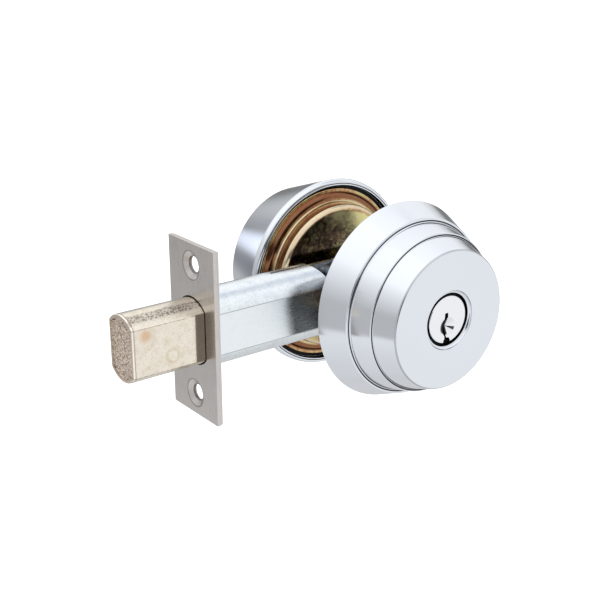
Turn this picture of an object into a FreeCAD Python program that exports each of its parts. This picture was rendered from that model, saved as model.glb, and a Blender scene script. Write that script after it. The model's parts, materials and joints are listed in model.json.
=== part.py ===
import FreeCAD, Part
import math
import os

from FreeCAD import Vector

# Single-cylinder deadbolt lock for a hinged door, shown with its bolt thrown.
#
# Frame: the origin is where the cylinder's axis crosses the bolt's centreline, midway through the door.
# +X points from the door's edge into the door, so the bolt throws towards -X.
# +Y points from the outside face, with the key, to the inside face, with the thumbturn. +Z is up.
# Sizes are in millimetres.

# ---- the door it fits
DOOR_THICKNESS = 34.92
BACKSET = 69.85
CROSS_BORE_DIAMETER = 54.0

# ---- running and assembly clearances, on a radius or on one side
RUNNING = 0.05
SLIDING = 0.3
LOOSE = 0.35

# ---- how far a cutting shape runs past what it cuts
PAST = 1.0

# ---- faceplate and its backing plate
FACEPLATE_WIDTH = 25.4
FACEPLATE_HEIGHT = 57.15
FACEPLATE_THICKNESS = 1.5
BACKING_THICKNESS = 0.6
BACKING_MARGIN = 0.25
FACE_SCREW_SPACING = 42.86
FACE_SCREW_HOLE_RADIUS = 2.65
COUNTERSINK_RADIUS = 4.6
COUNTERSINK_LAND = 0.3

# ---- bolt
THROW = 25.4
BOLT_WIDTH = 14.0
BOLT_HEIGHT = 21.8
BOLT_FLAT_HEIGHT = 15.35
BOLT_HELD_LENGTH = 22.0
BOLT_EDGE_BEVEL = 0.5
ROLLER_RADIUS = 3.6
ROLLER_LENGTH = 22.0
ROLLER_NOSE_WALL = 8.0
ROLLER_PIN_RADIUS = 1.5

# ---- tube
BOLT_SIDE_GAP = 0.775
BOLT_CROWN_GAP = 0.9
TUBE_FLAT_HEIGHT = 13.6
TUBE_WALL = 0.85
TUBE_END_X = -22.0
TUBE_END_RADIUS = 5.0
TUBE_SEAM_WIDTH = 1.8
TUBE_SEAM_LENGTH = 18.0
EAR_END_X = -10.6
EAR_HALF_HEIGHT = 6.4

# ---- case plates and rivets
CASE_PLATE_THICKNESS = 1.4
CASE_TOP_Z = 9.5
CASE_BOTTOM_Z = -12.0
CASE_CORNER_RADIUS = 2.5
CASE_BORE_GAP = 1.5
RIVET_X = 14.5
RIVET_Z = 3.4
RIVET_RADIUS = 1.3
RIVET_SHOULDER_RADIUS = 2.0
RIVET_HEAD_HEIGHT = 0.5

# ---- crank: quarter turn, with its pin in a slot of the bolt's tail
TURN_DEGREES = 90.0
HUB_RADIUS = 7.2
HUB_JOURNAL_RADIUS = 5.5
HUB_WAIST_RADIUS = 5.2
ARM_THICKNESS = 2.2
ARM_HALF_WIDTH = 3.3
CRANK_PIN_RADIUS = 2.0
DETENT_DEPTH = 0.45
DETENT_HALF_WIDTH = 1.6
DETENT_NOTCH_PLACE = 8.352
SPRING_THICKNESS = 0.4
SPRING_HOOK_START = 105.0
SPRING_HOOK_BEND = 40.0

# ---- bolt tail
TAIL_THICKNESS = 3.0
TAIL_TOP_Z = -5.9
TAIL_SLOT_SLACK = 0.65
TAIL_SLOT_WALL = 1.9
TAIL_GRIP_LENGTH = 9.0
TAIL_GRIP_HEIGHT = 4.5
TAIL_RIVET_RADIUS = 1.25
TAIL_RIVETS_FROM_REAR = (2.43, 6.57)

# ---- outer collar: radius and distance from the door's face of each edge of its three steps
COLLAR_BACK_RADIUS = 33.94
COLLAR_STEPS = (
    # front edge radius, distance of the front edge, base radius of the next step
    (30.25, 9.70, 28.65),
    (26.90, 17.40, 25.85),
    (23.42, 25.30, None),
)
COLLAR_WALL = 2.9
COLLAR_FRONT_WALL = 3.9
COLLAR_INNER_STEP = 1.0
COLLAR_EDGE_ROUND = 0.6
COLLAR_GROOVE = 0.25
COLLAR_DISH_RADIUS = 9.98
COLLAR_BORE_RADIUS = 9.0
COLLAR_DISH_DEPTH = 1.1
COLLAR_BOSS_RADIUS = 3.4
COLLAR_BOSS_PLACE = 16.3
COLLAR_SCREW_RADIUS = 1.6
COLLAR_SCREW_LENGTH = 9.0
COLLAR_SCREW_HEAD_RADIUS = 2.88
COLLAR_SCREW_HEAD_HEIGHT = 1.6
COLLAR_SCREW_SLOT = 0.8

# ---- cylinder
PLUG_HEAD_RADIUS = 8.0
PLUG_HEAD_LENGTH = 3.05
PLUG_SETBACK = 1.0
PLUG_RADIUS = 6.35
PLUG_REAR_LENGTH = 27.9
PLUG_EDGE_ROUND = 0.3
PLUG_BLIND_END = 2.5
SHELL_NOSE_SETBACK = 2.6
SHELL_BARREL_RADIUS = 10.5
SHELL_TAIL_RADIUS = 9.0
SHELL_TAIL_LENGTH = 3.6
BIBLE_HALF_WIDTH = 4.2
BIBLE_TOP_Z = 19.5
SPRING_COVER_THICKNESS = 0.6
SPRING_COVER_OVERLAP = 0.45
PIN_COUNT = 5
PIN_PITCH = 3.8
FIRST_PIN_FROM_SHOULDER = 2.4
PIN_CHAMBER_RADIUS = 1.5
PIN_RADIUS = 1.45
DRIVER_LENGTH = 4.0
KEY_PIN_LENGTHS = (6.0, 5.2, 5.7, 4.9, 5.4)
KEY_PIN_POINT = 0.87
KEY_PIN_TIP_RADIUS = 0.58
KEY_PIN_SLACK = 0.25
PIN_SPRING_RADIUS = 1.15
PIN_SPRING_WIRE = 0.22
PIN_SPRING_TURNS = 6
COUNTERSINK_KEY_RADIUS = 3.25
COUNTERSINK_KEY_DEPTH = 1.45
COUNTERSINK_KEY_END_RADIUS = 0.1
COUNTERSINK_KEY_PLACE = (-0.1, -2.4)
PLUG_CLIP_RADIUS = 8.2
PLUG_CLIP_THICKNESS = 0.8
PLUG_CLIP_GAP = 0.15
CLIP_GROOVE_SHARE = 0.8
CLIP_MOUTH_SHARE = 0.6

# ---- tailpiece
TAILPIECE_WIDTH = 7.0
TAILPIECE_THICKNESS = 2.2
TAILPIECE_DISC_RADIUS = 5.6
TAILPIECE_DISC_THICKNESS = 1.0
TAILPIECE_IN_SPINDLE = 12.0
TAILPIECE_SCREW_RADIUS = 0.9
TAILPIECE_SCREW_PLACE = 3.9
TAILPIECE_SCREW_DEPTH = 2.2
TAILPIECE_SCREW_HEAD_RADIUS = 1.53
TAILPIECE_SCREW_HEAD_HEIGHT = 0.7

# ---- mounting plates, posts and screws
PLATE_RECESS = 0.25
OUTER_PLATE_RADIUS = 29.8
OUTER_PLATE_THICKNESS = 1.5
POST_PLACE = 19.0
POST_WALL = 1.5
POST_STUB_WALL = 0.3
POST_STUB_HEAD = 0.6
SCREW_RADIUS = 2.5
SCREW_HEAD_RADIUS = 4.4
SCREW_HEAD_HEIGHT = 2.8
SCREW_ENGAGEMENT = 5.5
SCREW_HEAD_ROUND = 1.0
SCREW_CROSS_LENGTH = 4.84
SCREW_CROSS_WIDTH = 0.9
INNER_PLATE_RADIUS = 30.9
INNER_PLATE_THICKNESS = 1.2
INNER_PLATE_RECESS = 1.35
INNER_PLATE_BEAD_RADIUS = 28.9
INNER_PLATE_BEAD_HEIGHT = 0.7
INNER_BOSS_RADIUS = 26.0
INNER_BOSS_HEIGHT = 6.0
INNER_BOSS_LIP = 2.0
INNER_PLATE_BORE_RADIUS = 7.5

# ---- inner rose
ROSE_RIM_INNER_RADIUS = 32.2
ROSE_RIM_FLAT_RADIUS = 33.0
ROSE_LARGEST_RADIUS = 34.2
ROSE_LARGEST_DEPTH = 2.0
ROSE_SWELL = (0.25, 0.9)
ROSE_FRONT_RADIUS = 27.1
ROSE_DEPTH = 24.2
ROSE_WALL = 2.4
ROSE_EDGE_ROUND = 0.8
ROSE_SEAT_RADIUS = 29.9
SET_SCREW_RADIUS = 1.2
SET_SCREW_DEPTH = 0.6
SET_SCREW_SOCKET_RADIUS = 0.6
SET_SCREW_SOCKET_DEPTH = 1.2

# ---- thumbturn
SPINDLE_RADIUS = 6.0
THUMB_COLLAR_RADIUS = 9.0
THUMB_COLLAR_HEIGHT = 3.0
THUMB_HALF_LENGTH = 12.5
THUMB_PROJECTION = 18.0
THUMB_THICKNESS = 8.0
THUMB_ROOT_HALF_LENGTH = 6.75
THUMB_CORNER_DROP = 5.0
THUMB_EDGE_ROUND = 1.76
THUMB_COLLAR_ROUND = 0.8
THUMB_GAP = 0.3
SPINDLE_REACH = 11.0
THUMB_CLIP_RADIUS = 8.6
THUMB_CLIP_THICKNESS = 0.9
THUMB_WASHER_THICKNESS = 0.5
THUMB_WASHER_RADIUS = 9.2

# ---- places worked out from the sizes above
OUTSIDE_FACE_Y = -DOOR_THICKNESS / 2
INSIDE_FACE_Y = DOOR_THICKNESS / 2
BOLT_TIP_X = -BACKSET - THROW
BOLT_REAR_X = -BACKSET + BOLT_HELD_LENGTH
FACEPLATE_BACK_X = -BACKSET + FACEPLATE_THICKNESS
BACKING_BACK_X = FACEPLATE_BACK_X + BACKING_THICKNESS
TUBE_WIDTH = BOLT_WIDTH + 2 * (BOLT_SIDE_GAP + TUBE_WALL)
TUBE_HEIGHT = BOLT_HEIGHT + 2 * (BOLT_CROWN_GAP + TUBE_WALL)
CASE_OUTER_Y = TUBE_WIDTH / 2 - TUBE_WALL
CASE_INNER_Y = CASE_OUTER_Y - CASE_PLATE_THICKNESS
CRANK_RADIUS = THROW / 2 / math.sin(math.radians(TURN_DEGREES / 2))
CRANK_PIN_X = -THROW / 2
CRANK_PIN_Z = -CRANK_RADIUS * math.cos(math.radians(TURN_DEGREES / 2))
ARM_INNER_Y = TAIL_THICKNESS / 2 + SLIDING
ARM_OUTER_Y = ARM_INNER_Y + ARM_THICKNESS
COLLAR_FACE_Y = OUTSIDE_FACE_Y - COLLAR_STEPS[-1][1]
COLLAR_SHOULDER_Y = COLLAR_FACE_Y + COLLAR_FRONT_WALL
PLUG_FACE_Y = COLLAR_FACE_Y + PLUG_SETBACK
PLUG_HEAD_REAR_Y = PLUG_FACE_Y + PLUG_HEAD_LENGTH
PLUG_REAR_Y = PLUG_FACE_Y + PLUG_REAR_LENGTH
OUTER_PLATE_Y = OUTSIDE_FACE_Y - PLATE_RECESS
OUTER_PLATE_FRONT_Y = OUTER_PLATE_Y - OUTER_PLATE_THICKNESS
SHELL_TAIL_Y = OUTER_PLATE_FRONT_Y + SHELL_TAIL_LENGTH
POST_RADIUS = SCREW_RADIUS + POST_WALL
POST_STUB_RADIUS = SCREW_RADIUS + POST_STUB_WALL
POST_END_Y = -(TUBE_WIDTH / 2 + RIVET_HEAD_HEIGHT + LOOSE)
INNER_PLATE_Y = INSIDE_FACE_Y + INNER_PLATE_RECESS
INNER_BOSS_Y = INNER_PLATE_Y - INNER_BOSS_HEIGHT
ROSE_FRONT_Y = INSIDE_FACE_Y + ROSE_DEPTH
SPINDLE_END_Y = ROSE_FRONT_Y - ROSE_WALL - SPINDLE_REACH


# ---- shapes that several pieces use
def crowned_face(width, height, flat_height, x):
    """A section across the bolt: two flat sides, joined by an arc over the top and one under the bottom."""
    half, rise = width / 2, flat_height / 2
    corners = [Vector(x, -half, rise), Vector(x, half, rise), Vector(x, half, -rise), Vector(x, -half, -rise)]
    edges = [
        Part.Arc(corners[0], Vector(x, 0, height / 2), corners[1]).toShape(),
        Part.LineSegment(corners[1], corners[2]).toShape(),
        Part.Arc(corners[2], Vector(x, 0, -height / 2), corners[3]).toShape(),
        Part.LineSegment(corners[3], corners[0]).toShape(),
    ]
    return Part.Face(Part.Wire(edges))


def crowned_bar(width, height, flat_height, x_start, x_end):
    return crowned_face(width, height, flat_height, x_start).extrude(Vector(x_end - x_start, 0, 0))


def inset_flat_height(width, height, flat_height, inset):
    """The flat height of a crowned section that lies inset inside another's, with the same arc centres."""
    sagitta = (height - flat_height) / 2
    radius = ((width / 2) ** 2 + sagitta**2) / (2 * sagitta)
    centre = height / 2 - radius
    return 2 * (centre + math.sqrt((radius - inset) ** 2 - (width / 2 - inset) ** 2))


def cylinder_y(radius, y_start, y_end, x=0.0, z=0.0):
    return Part.makeCylinder(radius, y_end - y_start, Vector(x, y_start, z), Vector(0, 1, 0))


def ring_y(outer, inner, y_start, y_end, x=0.0, z=0.0):
    return cylinder_y(outer, y_start, y_end, x, z).cut(cylinder_y(inner, y_start, y_end, x, z))


def box(x_range, y_range, z_range):
    corner = Vector(x_range[0], y_range[0], z_range[0])
    sizes = (x_range[1] - x_range[0], y_range[1] - y_range[0], z_range[1] - z_range[0])
    return Part.makeBox(*sizes, corner)


def turned(profile):
    """A solid turned about the Y axis from a list of (radius, y) points."""
    points = [Vector(radius, y, 0) for radius, y in profile]
    face = Part.Face(Part.makePolygon(points + points[:1]))
    return face.revolve(Vector(0, 0, 0), Vector(0, 1, 0), 360)


def plate_xz(outline, y_start, y_end):
    """A flat plate cut to an outline of (x, z) points, between two Y values."""
    points = [Vector(x, y_start, z) for x, z in outline]
    return Part.Face(Part.makePolygon(points + points[:1])).extrude(Vector(0, y_end - y_start, 0))


def round_edges(shape, radius, wanted):
    """Rounds the edges for which wanted(edge) is true."""
    edges = [edge for edge in shape.Edges if wanted(edge)]
    return shape.makeFillet(radius, edges) if edges else shape


def circle_edges(radius, y):
    """A test for a full circle of that radius about the Y axis, at that Y."""

    def wanted(edge):
        curve = edge.Curve
        return (
            isinstance(curve, Part.Circle)
            and abs(curve.Radius - radius) < 1e-4
            and abs(curve.Center.y - y) < 1e-4
            and abs(curve.Center.x) < 1e-4
        )

    return wanted


def along_y(edge):
    ends = [vertex.Point for vertex in edge.Vertexes]
    return len(ends) == 2 and abs(ends[0].x - ends[1].x) + abs(ends[0].z - ends[1].z) < 1e-6


# ---- faceplate group
def plate_with_holes(width, height, x_start, x_end, opening):
    """A plate across the door's edge, with two screw holes and an opening of (width, height, flat height)."""
    plate = box((x_start, x_end), (-width / 2, width / 2), (-height / 2, height / 2))
    plate = plate.cut(crowned_bar(*opening, x_start - PAST, x_end + PAST))
    for side in (-1, 1):
        centre = Vector(x_start - PAST, 0, side * FACE_SCREW_SPACING / 2)
        length = x_end - x_start + 2 * PAST
        plate = plate.cut(Part.makeCylinder(FACE_SCREW_HOLE_RADIUS, length, centre, Vector(1, 0, 0)))
    return plate


def make_faceplate():
    opening = (BOLT_WIDTH + 2 * LOOSE, BOLT_HEIGHT + 2 * LOOSE, BOLT_FLAT_HEIGHT + LOOSE)
    plate = plate_with_holes(FACEPLATE_WIDTH, FACEPLATE_HEIGHT, -BACKSET, FACEPLATE_BACK_X, opening)
    depth = FACEPLATE_THICKNESS - COUNTERSINK_LAND
    for side in (-1, 1):
        centre = Vector(-BACKSET, 0, side * FACE_SCREW_SPACING / 2)
        cone = Part.makeCone(COUNTERSINK_RADIUS, FACE_SCREW_HOLE_RADIUS, depth, centre, Vector(1, 0, 0))
        plate = plate.cut(cone)
    return plate


def make_backing_plate():
    """The tube is staked into this plate, so its opening is the tube's outline."""
    width, height = FACEPLATE_WIDTH - 2 * BACKING_MARGIN, FACEPLATE_HEIGHT - 2 * BACKING_MARGIN
    opening = (TUBE_WIDTH, TUBE_HEIGHT, TUBE_FLAT_HEIGHT)
    return plate_with_holes(width, height, FACEPLATE_BACK_X, BACKING_BACK_X, opening)


# ---- bolt group
def make_deadbolt():
    bolt = crowned_bar(BOLT_WIDTH, BOLT_HEIGHT, BOLT_FLAT_HEIGHT, BOLT_TIP_X, BOLT_REAR_X)
    tip_edges = [e for e in bolt.Edges if all(abs(v.Point.x - BOLT_TIP_X) < 1e-6 for v in e.Vertexes)]
    bolt = bolt.makeChamfer(BOLT_EDGE_BEVEL, tip_edges)
    roller_hole = Part.makeCylinder(
        ROLLER_RADIUS + RUNNING,
        BOLT_REAR_X + PAST - BOLT_TIP_X - ROLLER_NOSE_WALL,
        Vector(BOLT_TIP_X + ROLLER_NOSE_WALL, 0, ROLLER_RADIUS / 4),
        Vector(1, 0, 0),
    )
    bolt = bolt.cut(roller_hole).cut(roller_pin_solid())
    tail_slot = box(
        (BOLT_REAR_X - TAIL_GRIP_LENGTH, BOLT_REAR_X + PAST),
        (-TAIL_THICKNESS / 2, TAIL_THICKNESS / 2),
        (-BOLT_HEIGHT / 2 - PAST, TAIL_TOP_Z),
    )
    bolt = bolt.cut(tail_slot)
    for rivet in tail_rivet_solids():
        bolt = bolt.cut(rivet)
    return bolt


def roller_pin_solid():
    x = BOLT_TIP_X + ROLLER_NOSE_WALL + ROLLER_LENGTH + ROLLER_PIN_RADIUS + SLIDING
    return cylinder_y(ROLLER_PIN_RADIUS, -BOLT_WIDTH / 2, BOLT_WIDTH / 2, x, ROLLER_RADIUS / 4)


def make_bolt_roller():
    start = Vector(BOLT_TIP_X + ROLLER_NOSE_WALL + SLIDING / 2, 0, ROLLER_RADIUS / 4)
    return Part.makeCylinder(ROLLER_RADIUS, ROLLER_LENGTH, start, Vector(1, 0, 0))


def tail_rivet_solids():
    """Rivets that hold the tail in the bolt's slot. Their ends are flush with the bolt's crown."""
    z = TAIL_TOP_Z - TAIL_GRIP_HEIGHT / 2
    crown = crowned_bar(BOLT_WIDTH, BOLT_HEIGHT, BOLT_FLAT_HEIGHT, BOLT_TIP_X, BOLT_REAR_X)
    places = [BOLT_REAR_X - distance for distance in TAIL_RIVETS_FROM_REAR]
    shanks = [cylinder_y(TAIL_RIVET_RADIUS, -BOLT_WIDTH, BOLT_WIDTH, x, z) for x in places]
    return [shank.common(crown).Solids[0] for shank in shanks]


def tail_bottom_z():
    """The bottom of the tail's bar is the top end of the crank pin's slot."""
    return CRANK_PIN_Z + CRANK_PIN_RADIUS + SLIDING


def make_bolt_tail():
    slot_half = CRANK_PIN_RADIUS + TAIL_SLOT_SLACK
    lowest_pin_z = -CRANK_RADIUS - CRANK_PIN_RADIUS - SLIDING
    slot_centre_z = lowest_pin_z + slot_half
    loop_half = slot_half + TAIL_SLOT_WALL
    y_range = (-TAIL_THICKNESS / 2, TAIL_THICKNESS / 2)
    start = BOLT_REAR_X - TAIL_GRIP_LENGTH
    grip = box((start, BOLT_REAR_X), y_range, (TAIL_TOP_Z - TAIL_GRIP_HEIGHT, TAIL_TOP_Z))
    bar = box((start, CRANK_PIN_X + loop_half), y_range, (tail_bottom_z(), TAIL_TOP_Z))
    leg = box((CRANK_PIN_X - loop_half, CRANK_PIN_X + loop_half), y_range, (slot_centre_z, tail_bottom_z()))
    foot = cylinder_y(loop_half, *y_range, CRANK_PIN_X, slot_centre_z)
    slot = box((CRANK_PIN_X - slot_half, CRANK_PIN_X + slot_half), y_range, (slot_centre_z, tail_bottom_z()))
    slot = slot.fuse(cylinder_y(slot_half, *y_range, CRANK_PIN_X, slot_centre_z))
    tail = bar.fuse([grip, leg, foot]).cut(slot).removeSplitter()
    for rivet in tail_rivet_solids():
        tail = tail.cut(rivet)
    return tail


# ---- tube and case
def make_bolt_tube():
    start = FACEPLATE_BACK_X
    outside = crowned_bar(TUBE_WIDTH, TUBE_HEIGHT, TUBE_FLAT_HEIGHT, start, EAR_END_X)
    inner_width, inner_height = TUBE_WIDTH - 2 * TUBE_WALL, TUBE_HEIGHT - 2 * TUBE_WALL
    inner_flat = inset_flat_height(TUBE_WIDTH, TUBE_HEIGHT, TUBE_FLAT_HEIGHT, TUBE_WALL)
    tube = outside.cut(crowned_bar(inner_width, inner_height, inner_flat, start - PAST, EAR_END_X + PAST))
    tube = tube.common(tube_side_profile())
    seam = box(
        (TUBE_END_X - TUBE_SEAM_LENGTH, EAR_END_X + PAST),
        (-TUBE_SEAM_WIDTH / 2, TUBE_SEAM_WIDTH / 2),
        (-TUBE_HEIGHT, TUBE_HEIGHT),
    )
    tube = tube.cut(seam)
    for x, z in rivet_places():
        tube = tube.cut(cylinder_y(RIVET_RADIUS, -TUBE_WIDTH, TUBE_WIDTH, x, z))
    return tube.cut(cylinder_y(SCREW_RADIUS + LOOSE, -TUBE_WIDTH, TUBE_WIDTH, -POST_PLACE, 0))


def tube_side_profile():
    """The tube from the side: full height to its rounded end, then two flat ears that reach the case rivets."""
    top = TUBE_HEIGHT / 2
    full = box((FACEPLATE_BACK_X, TUBE_END_X), (-TUBE_WIDTH, TUBE_WIDTH), (-top, top))
    full = round_edges(full, TUBE_END_RADIUS, end_corners(TUBE_END_X))
    ear_x = (TUBE_END_X - TUBE_END_RADIUS, EAR_END_X)
    ears = box(ear_x, (-TUBE_WIDTH, TUBE_WIDTH), (-EAR_HALF_HEIGHT, EAR_HALF_HEIGHT))
    ears = round_edges(ears, EAR_HALF_HEIGHT / 2, end_corners(EAR_END_X))
    return full.fuse(ears)


def end_corners(x):
    """A test for an edge along Y at that X."""
    return lambda edge: along_y(edge) and abs(edge.Vertexes[0].Point.x - x) < 1e-6


def rivet_places():
    return [(x, z) for x in (-RIVET_X, RIVET_X) for z in (-RIVET_Z, RIVET_Z)]


def case_outline_solid(y_start, y_end):
    """A case plate's outline: flat top and bottom, ends rounded to pass through the cross bore."""
    bore = cylinder_y(CROSS_BORE_DIAMETER / 2 - CASE_BORE_GAP, y_start, y_end)
    block = box((TUBE_END_X + SLIDING, CROSS_BORE_DIAMETER), (y_start, y_end), (CASE_BOTTOM_Z, CASE_TOP_Z))
    plate = block.common(bore).removeSplitter()
    return round_edges(plate, CASE_CORNER_RADIUS, along_y)


def make_case_plate():
    """The plate on the thumbturn's side; the one on the key's side is its mirror image."""
    plate = case_outline_solid(CASE_INNER_Y, CASE_OUTER_Y)
    holes = [cylinder_y(HUB_JOURNAL_RADIUS + RUNNING, 0, TUBE_WIDTH)]
    holes += [cylinder_y(SCREW_RADIUS + LOOSE, 0, TUBE_WIDTH, x, 0) for x in (-POST_PLACE, POST_PLACE)]
    holes += [cylinder_y(RIVET_RADIUS, 0, TUBE_WIDTH, x, z) for x, z in rivet_places()]
    for hole in holes:
        plate = plate.cut(hole)
    return plate


def make_case_rivets():
    rivets = []
    for x, z in rivet_places():
        outer = TUBE_WIDTH / 2 if x < 0 else CASE_OUTER_Y
        shoulder = cylinder_y(RIVET_SHOULDER_RADIUS, -CASE_INNER_Y, CASE_INNER_Y, x, z)
        shank = cylinder_y(RIVET_RADIUS, -outer, outer, x, z)
        heads = [cylinder_y(RIVET_SHOULDER_RADIUS, outer, outer + RIVET_HEAD_HEIGHT, x, z)]
        heads += [cylinder_y(RIVET_SHOULDER_RADIUS, -outer - RIVET_HEAD_HEIGHT, -outer, x, z)]
        rivets.append(shoulder.fuse([shank] + heads).removeSplitter())
    return Part.makeCompound(rivets)


# ---- crank
def make_crank_hub():
    half = CASE_INNER_Y - RUNNING
    parts = [cylinder_y(HUB_RADIUS, ARM_INNER_Y, half), cylinder_y(HUB_RADIUS, -half, -ARM_INNER_Y)]
    parts += [cylinder_y(HUB_JOURNAL_RADIUS, -CASE_OUTER_Y, CASE_OUTER_Y)]
    angle = math.degrees(math.atan2(CRANK_PIN_Z, CRANK_PIN_X))
    for y_start, y_end in ((ARM_INNER_Y, ARM_OUTER_Y), (-ARM_OUTER_Y, -ARM_INNER_Y)):
        arm = box((0, CRANK_RADIUS), (y_start, y_end), (-ARM_HALF_WIDTH, ARM_HALF_WIDTH))
        arm = arm.fuse(cylinder_y(ARM_HALF_WIDTH, y_start, y_end, CRANK_RADIUS, 0))
        arm.rotate(Vector(0, 0, 0), Vector(0, 1, 0), -angle)
        parts.append(arm)
    hub = parts[0].fuse(parts[1:])
    waist = ring_y(HUB_RADIUS + PAST, HUB_WAIST_RADIUS, -ARM_INNER_Y, ARM_INNER_Y)
    hub = hub.cut(waist).cut(tailpiece_slot(-CASE_OUTER_Y - PAST, CASE_OUTER_Y + PAST)).cut(crank_pin_solid())
    for x, z in ((0, DETENT_NOTCH_PLACE), (DETENT_NOTCH_PLACE, 0)):
        hub = hub.cut(cylinder_y(DETENT_HALF_WIDTH, -CASE_INNER_Y, CASE_INNER_Y, x, z))
    return hub.removeSplitter()


def crank_pin_solid():
    return cylinder_y(CRANK_PIN_RADIUS, -ARM_OUTER_Y, ARM_OUTER_Y, CRANK_PIN_X, CRANK_PIN_Z)


def tailpiece_slot(y_start, y_end):
    """The slot that the tailpiece's blade turns, in the crank hub and in the thumbturn's spindle."""
    half_thickness, half_width = TAILPIECE_THICKNESS / 2 + 2 * RUNNING, TAILPIECE_WIDTH / 2 + 2 * RUNNING
    return box((-half_thickness, half_thickness), (y_start, y_end), (-half_width, half_width))


def strip(centreline, thickness, y_range):
    """A strip of sheet bent along (x, z) points, with mitred bends."""
    normals = []
    for start, end in zip(centreline, centreline[1:]):
        length = math.dist(start, end)
        normals.append(((start[1] - end[1]) / length, (end[0] - start[0]) / length))
    sides = ([], [])
    for i, (x, z) in enumerate(centreline):
        before, after = normals[max(i - 1, 0)], normals[min(i, len(normals) - 1)]
        share = 1 + before[0] * after[0] + before[1] * after[1]
        offset = [(b + a) / share * thickness / 2 for b, a in zip(before, after)]
        sides[0].append((x + offset[0], z + offset[1]))
        sides[1].append((x - offset[0], z - offset[1]))
    return plate_xz(sides[0] + sides[1][::-1], *y_range)


def make_detent_spring():
    """A bow spring over the hub. Its nose sits in a notch of the hub, and its ends hook over case rivets."""
    nose_z = HUB_RADIUS - DETENT_DEPTH + SPRING_THICKNESS
    bend = SPRING_HOOK_BEND
    hook_radius = (RIVET_SHOULDER_RADIUS + SPRING_THICKNESS / 2 + RUNNING) / math.cos(math.radians(bend / 2))
    side = [(DETENT_HALF_WIDTH * 2, HUB_RADIUS + 3 * DETENT_DEPTH)]
    for i in range(4):
        angle = math.radians(SPRING_HOOK_START - bend * i)
        side.append((RIVET_X + hook_radius * math.cos(angle), RIVET_Z + hook_radius * math.sin(angle)))
    left = [(-x, z) for x, z in reversed(side)]
    half_width = (ARM_OUTER_Y + ARM_INNER_Y) / 2
    return strip(left + [(0, nose_z)] + side, SPRING_THICKNESS, (-half_width, half_width))


# ---- outer collar group
def collar_base_radius(step):
    return COLLAR_BACK_RADIUS if step == 0 else COLLAR_STEPS[step - 1][2]


def make_outer_collar():
    profile = [(COLLAR_BACK_RADIUS - COLLAR_WALL, OUTSIDE_FACE_Y), (COLLAR_BACK_RADIUS, OUTSIDE_FACE_Y)]
    for edge_radius, distance, next_base in COLLAR_STEPS:
        edge_y = OUTSIDE_FACE_Y - distance
        profile.append((edge_radius, edge_y))
        if next_base is not None:
            profile.append((next_base + COLLAR_GROOVE, edge_y))
            profile.append((next_base, edge_y + COLLAR_GROOVE))
    profile += [
        (COLLAR_DISH_RADIUS, COLLAR_FACE_Y),
        (COLLAR_BORE_RADIUS, COLLAR_FACE_Y + COLLAR_DISH_DEPTH),
        (COLLAR_BORE_RADIUS, COLLAR_SHOULDER_Y),
    ]
    inner = []
    for step, (edge_radius, distance, _) in enumerate(COLLAR_STEPS):
        wall = COLLAR_FRONT_WALL if step == len(COLLAR_STEPS) - 1 else COLLAR_WALL
        far_y = OUTSIDE_FACE_Y - distance + wall
        near_y = OUTSIDE_FACE_Y if step == 0 else OUTSIDE_FACE_Y - COLLAR_STEPS[step - 1][1] + COLLAR_WALL
        inset = COLLAR_WALL if step == 0 else COLLAR_WALL + COLLAR_INNER_STEP
        inner.append((collar_base_radius(step) - inset, near_y))
        inner.append((edge_radius - COLLAR_WALL, far_y))
    profile += inner[:0:-1]
    collar = turned(profile)
    for edge_radius, distance, _ in COLLAR_STEPS:
        collar = round_edges(collar, COLLAR_EDGE_ROUND, circle_edges(edge_radius, OUTSIDE_FACE_Y - distance))
    boss_root_y = OUTSIDE_FACE_Y - COLLAR_STEPS[1][1] + COLLAR_WALL / 2
    for x, z in collar_screw_places():
        boss = cylinder_y(COLLAR_BOSS_RADIUS, boss_root_y, OUTER_PLATE_FRONT_Y, x, z)
        collar = collar.fuse(boss).cut(collar_screw_shank(x, z))
    return collar.removeSplitter()


def collar_screw_places():
    return [(COLLAR_BOSS_PLACE, COLLAR_BOSS_PLACE), (-COLLAR_BOSS_PLACE, -COLLAR_BOSS_PLACE)]


def collar_screw_shank(x, z):
    return cylinder_y(COLLAR_SCREW_RADIUS, OUTER_PLATE_FRONT_Y - COLLAR_SCREW_LENGTH, OUTER_PLATE_Y, x, z)


def make_collar_screws():
    screws = []
    for x, z in collar_screw_places():
        head_end = OUTER_PLATE_Y + COLLAR_SCREW_HEAD_HEIGHT
        head = cylinder_y(COLLAR_SCREW_HEAD_RADIUS, OUTER_PLATE_Y, head_end, x, z)
        reach, half = COLLAR_SCREW_HEAD_RADIUS + PAST, COLLAR_SCREW_SLOT / 2
        depth = (head_end - COLLAR_SCREW_SLOT, head_end + PAST)
        slot = box((x - reach, x + reach), depth, (z - half, z + half))
        screws.append(collar_screw_shank(x, z).fuse(head).cut(slot).removeSplitter())
    return Part.makeCompound(screws)


def make_outer_mounting_plate():
    plate = cylinder_y(OUTER_PLATE_RADIUS, OUTER_PLATE_FRONT_Y, OUTER_PLATE_Y)
    through = (OUTER_PLATE_FRONT_Y - PAST, OUTER_PLATE_Y + PAST)
    holes = [cylinder_y(SHELL_TAIL_RADIUS + RUNNING, *through)]
    holes += [cylinder_y(COLLAR_SCREW_RADIUS, *through, x, z) for x, z in collar_screw_places()]
    holes += [cylinder_y(POST_STUB_RADIUS, *through, x, 0) for x in (-POST_PLACE, POST_PLACE)]
    for hole in holes:
        plate = plate.cut(hole)
    return plate


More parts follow.
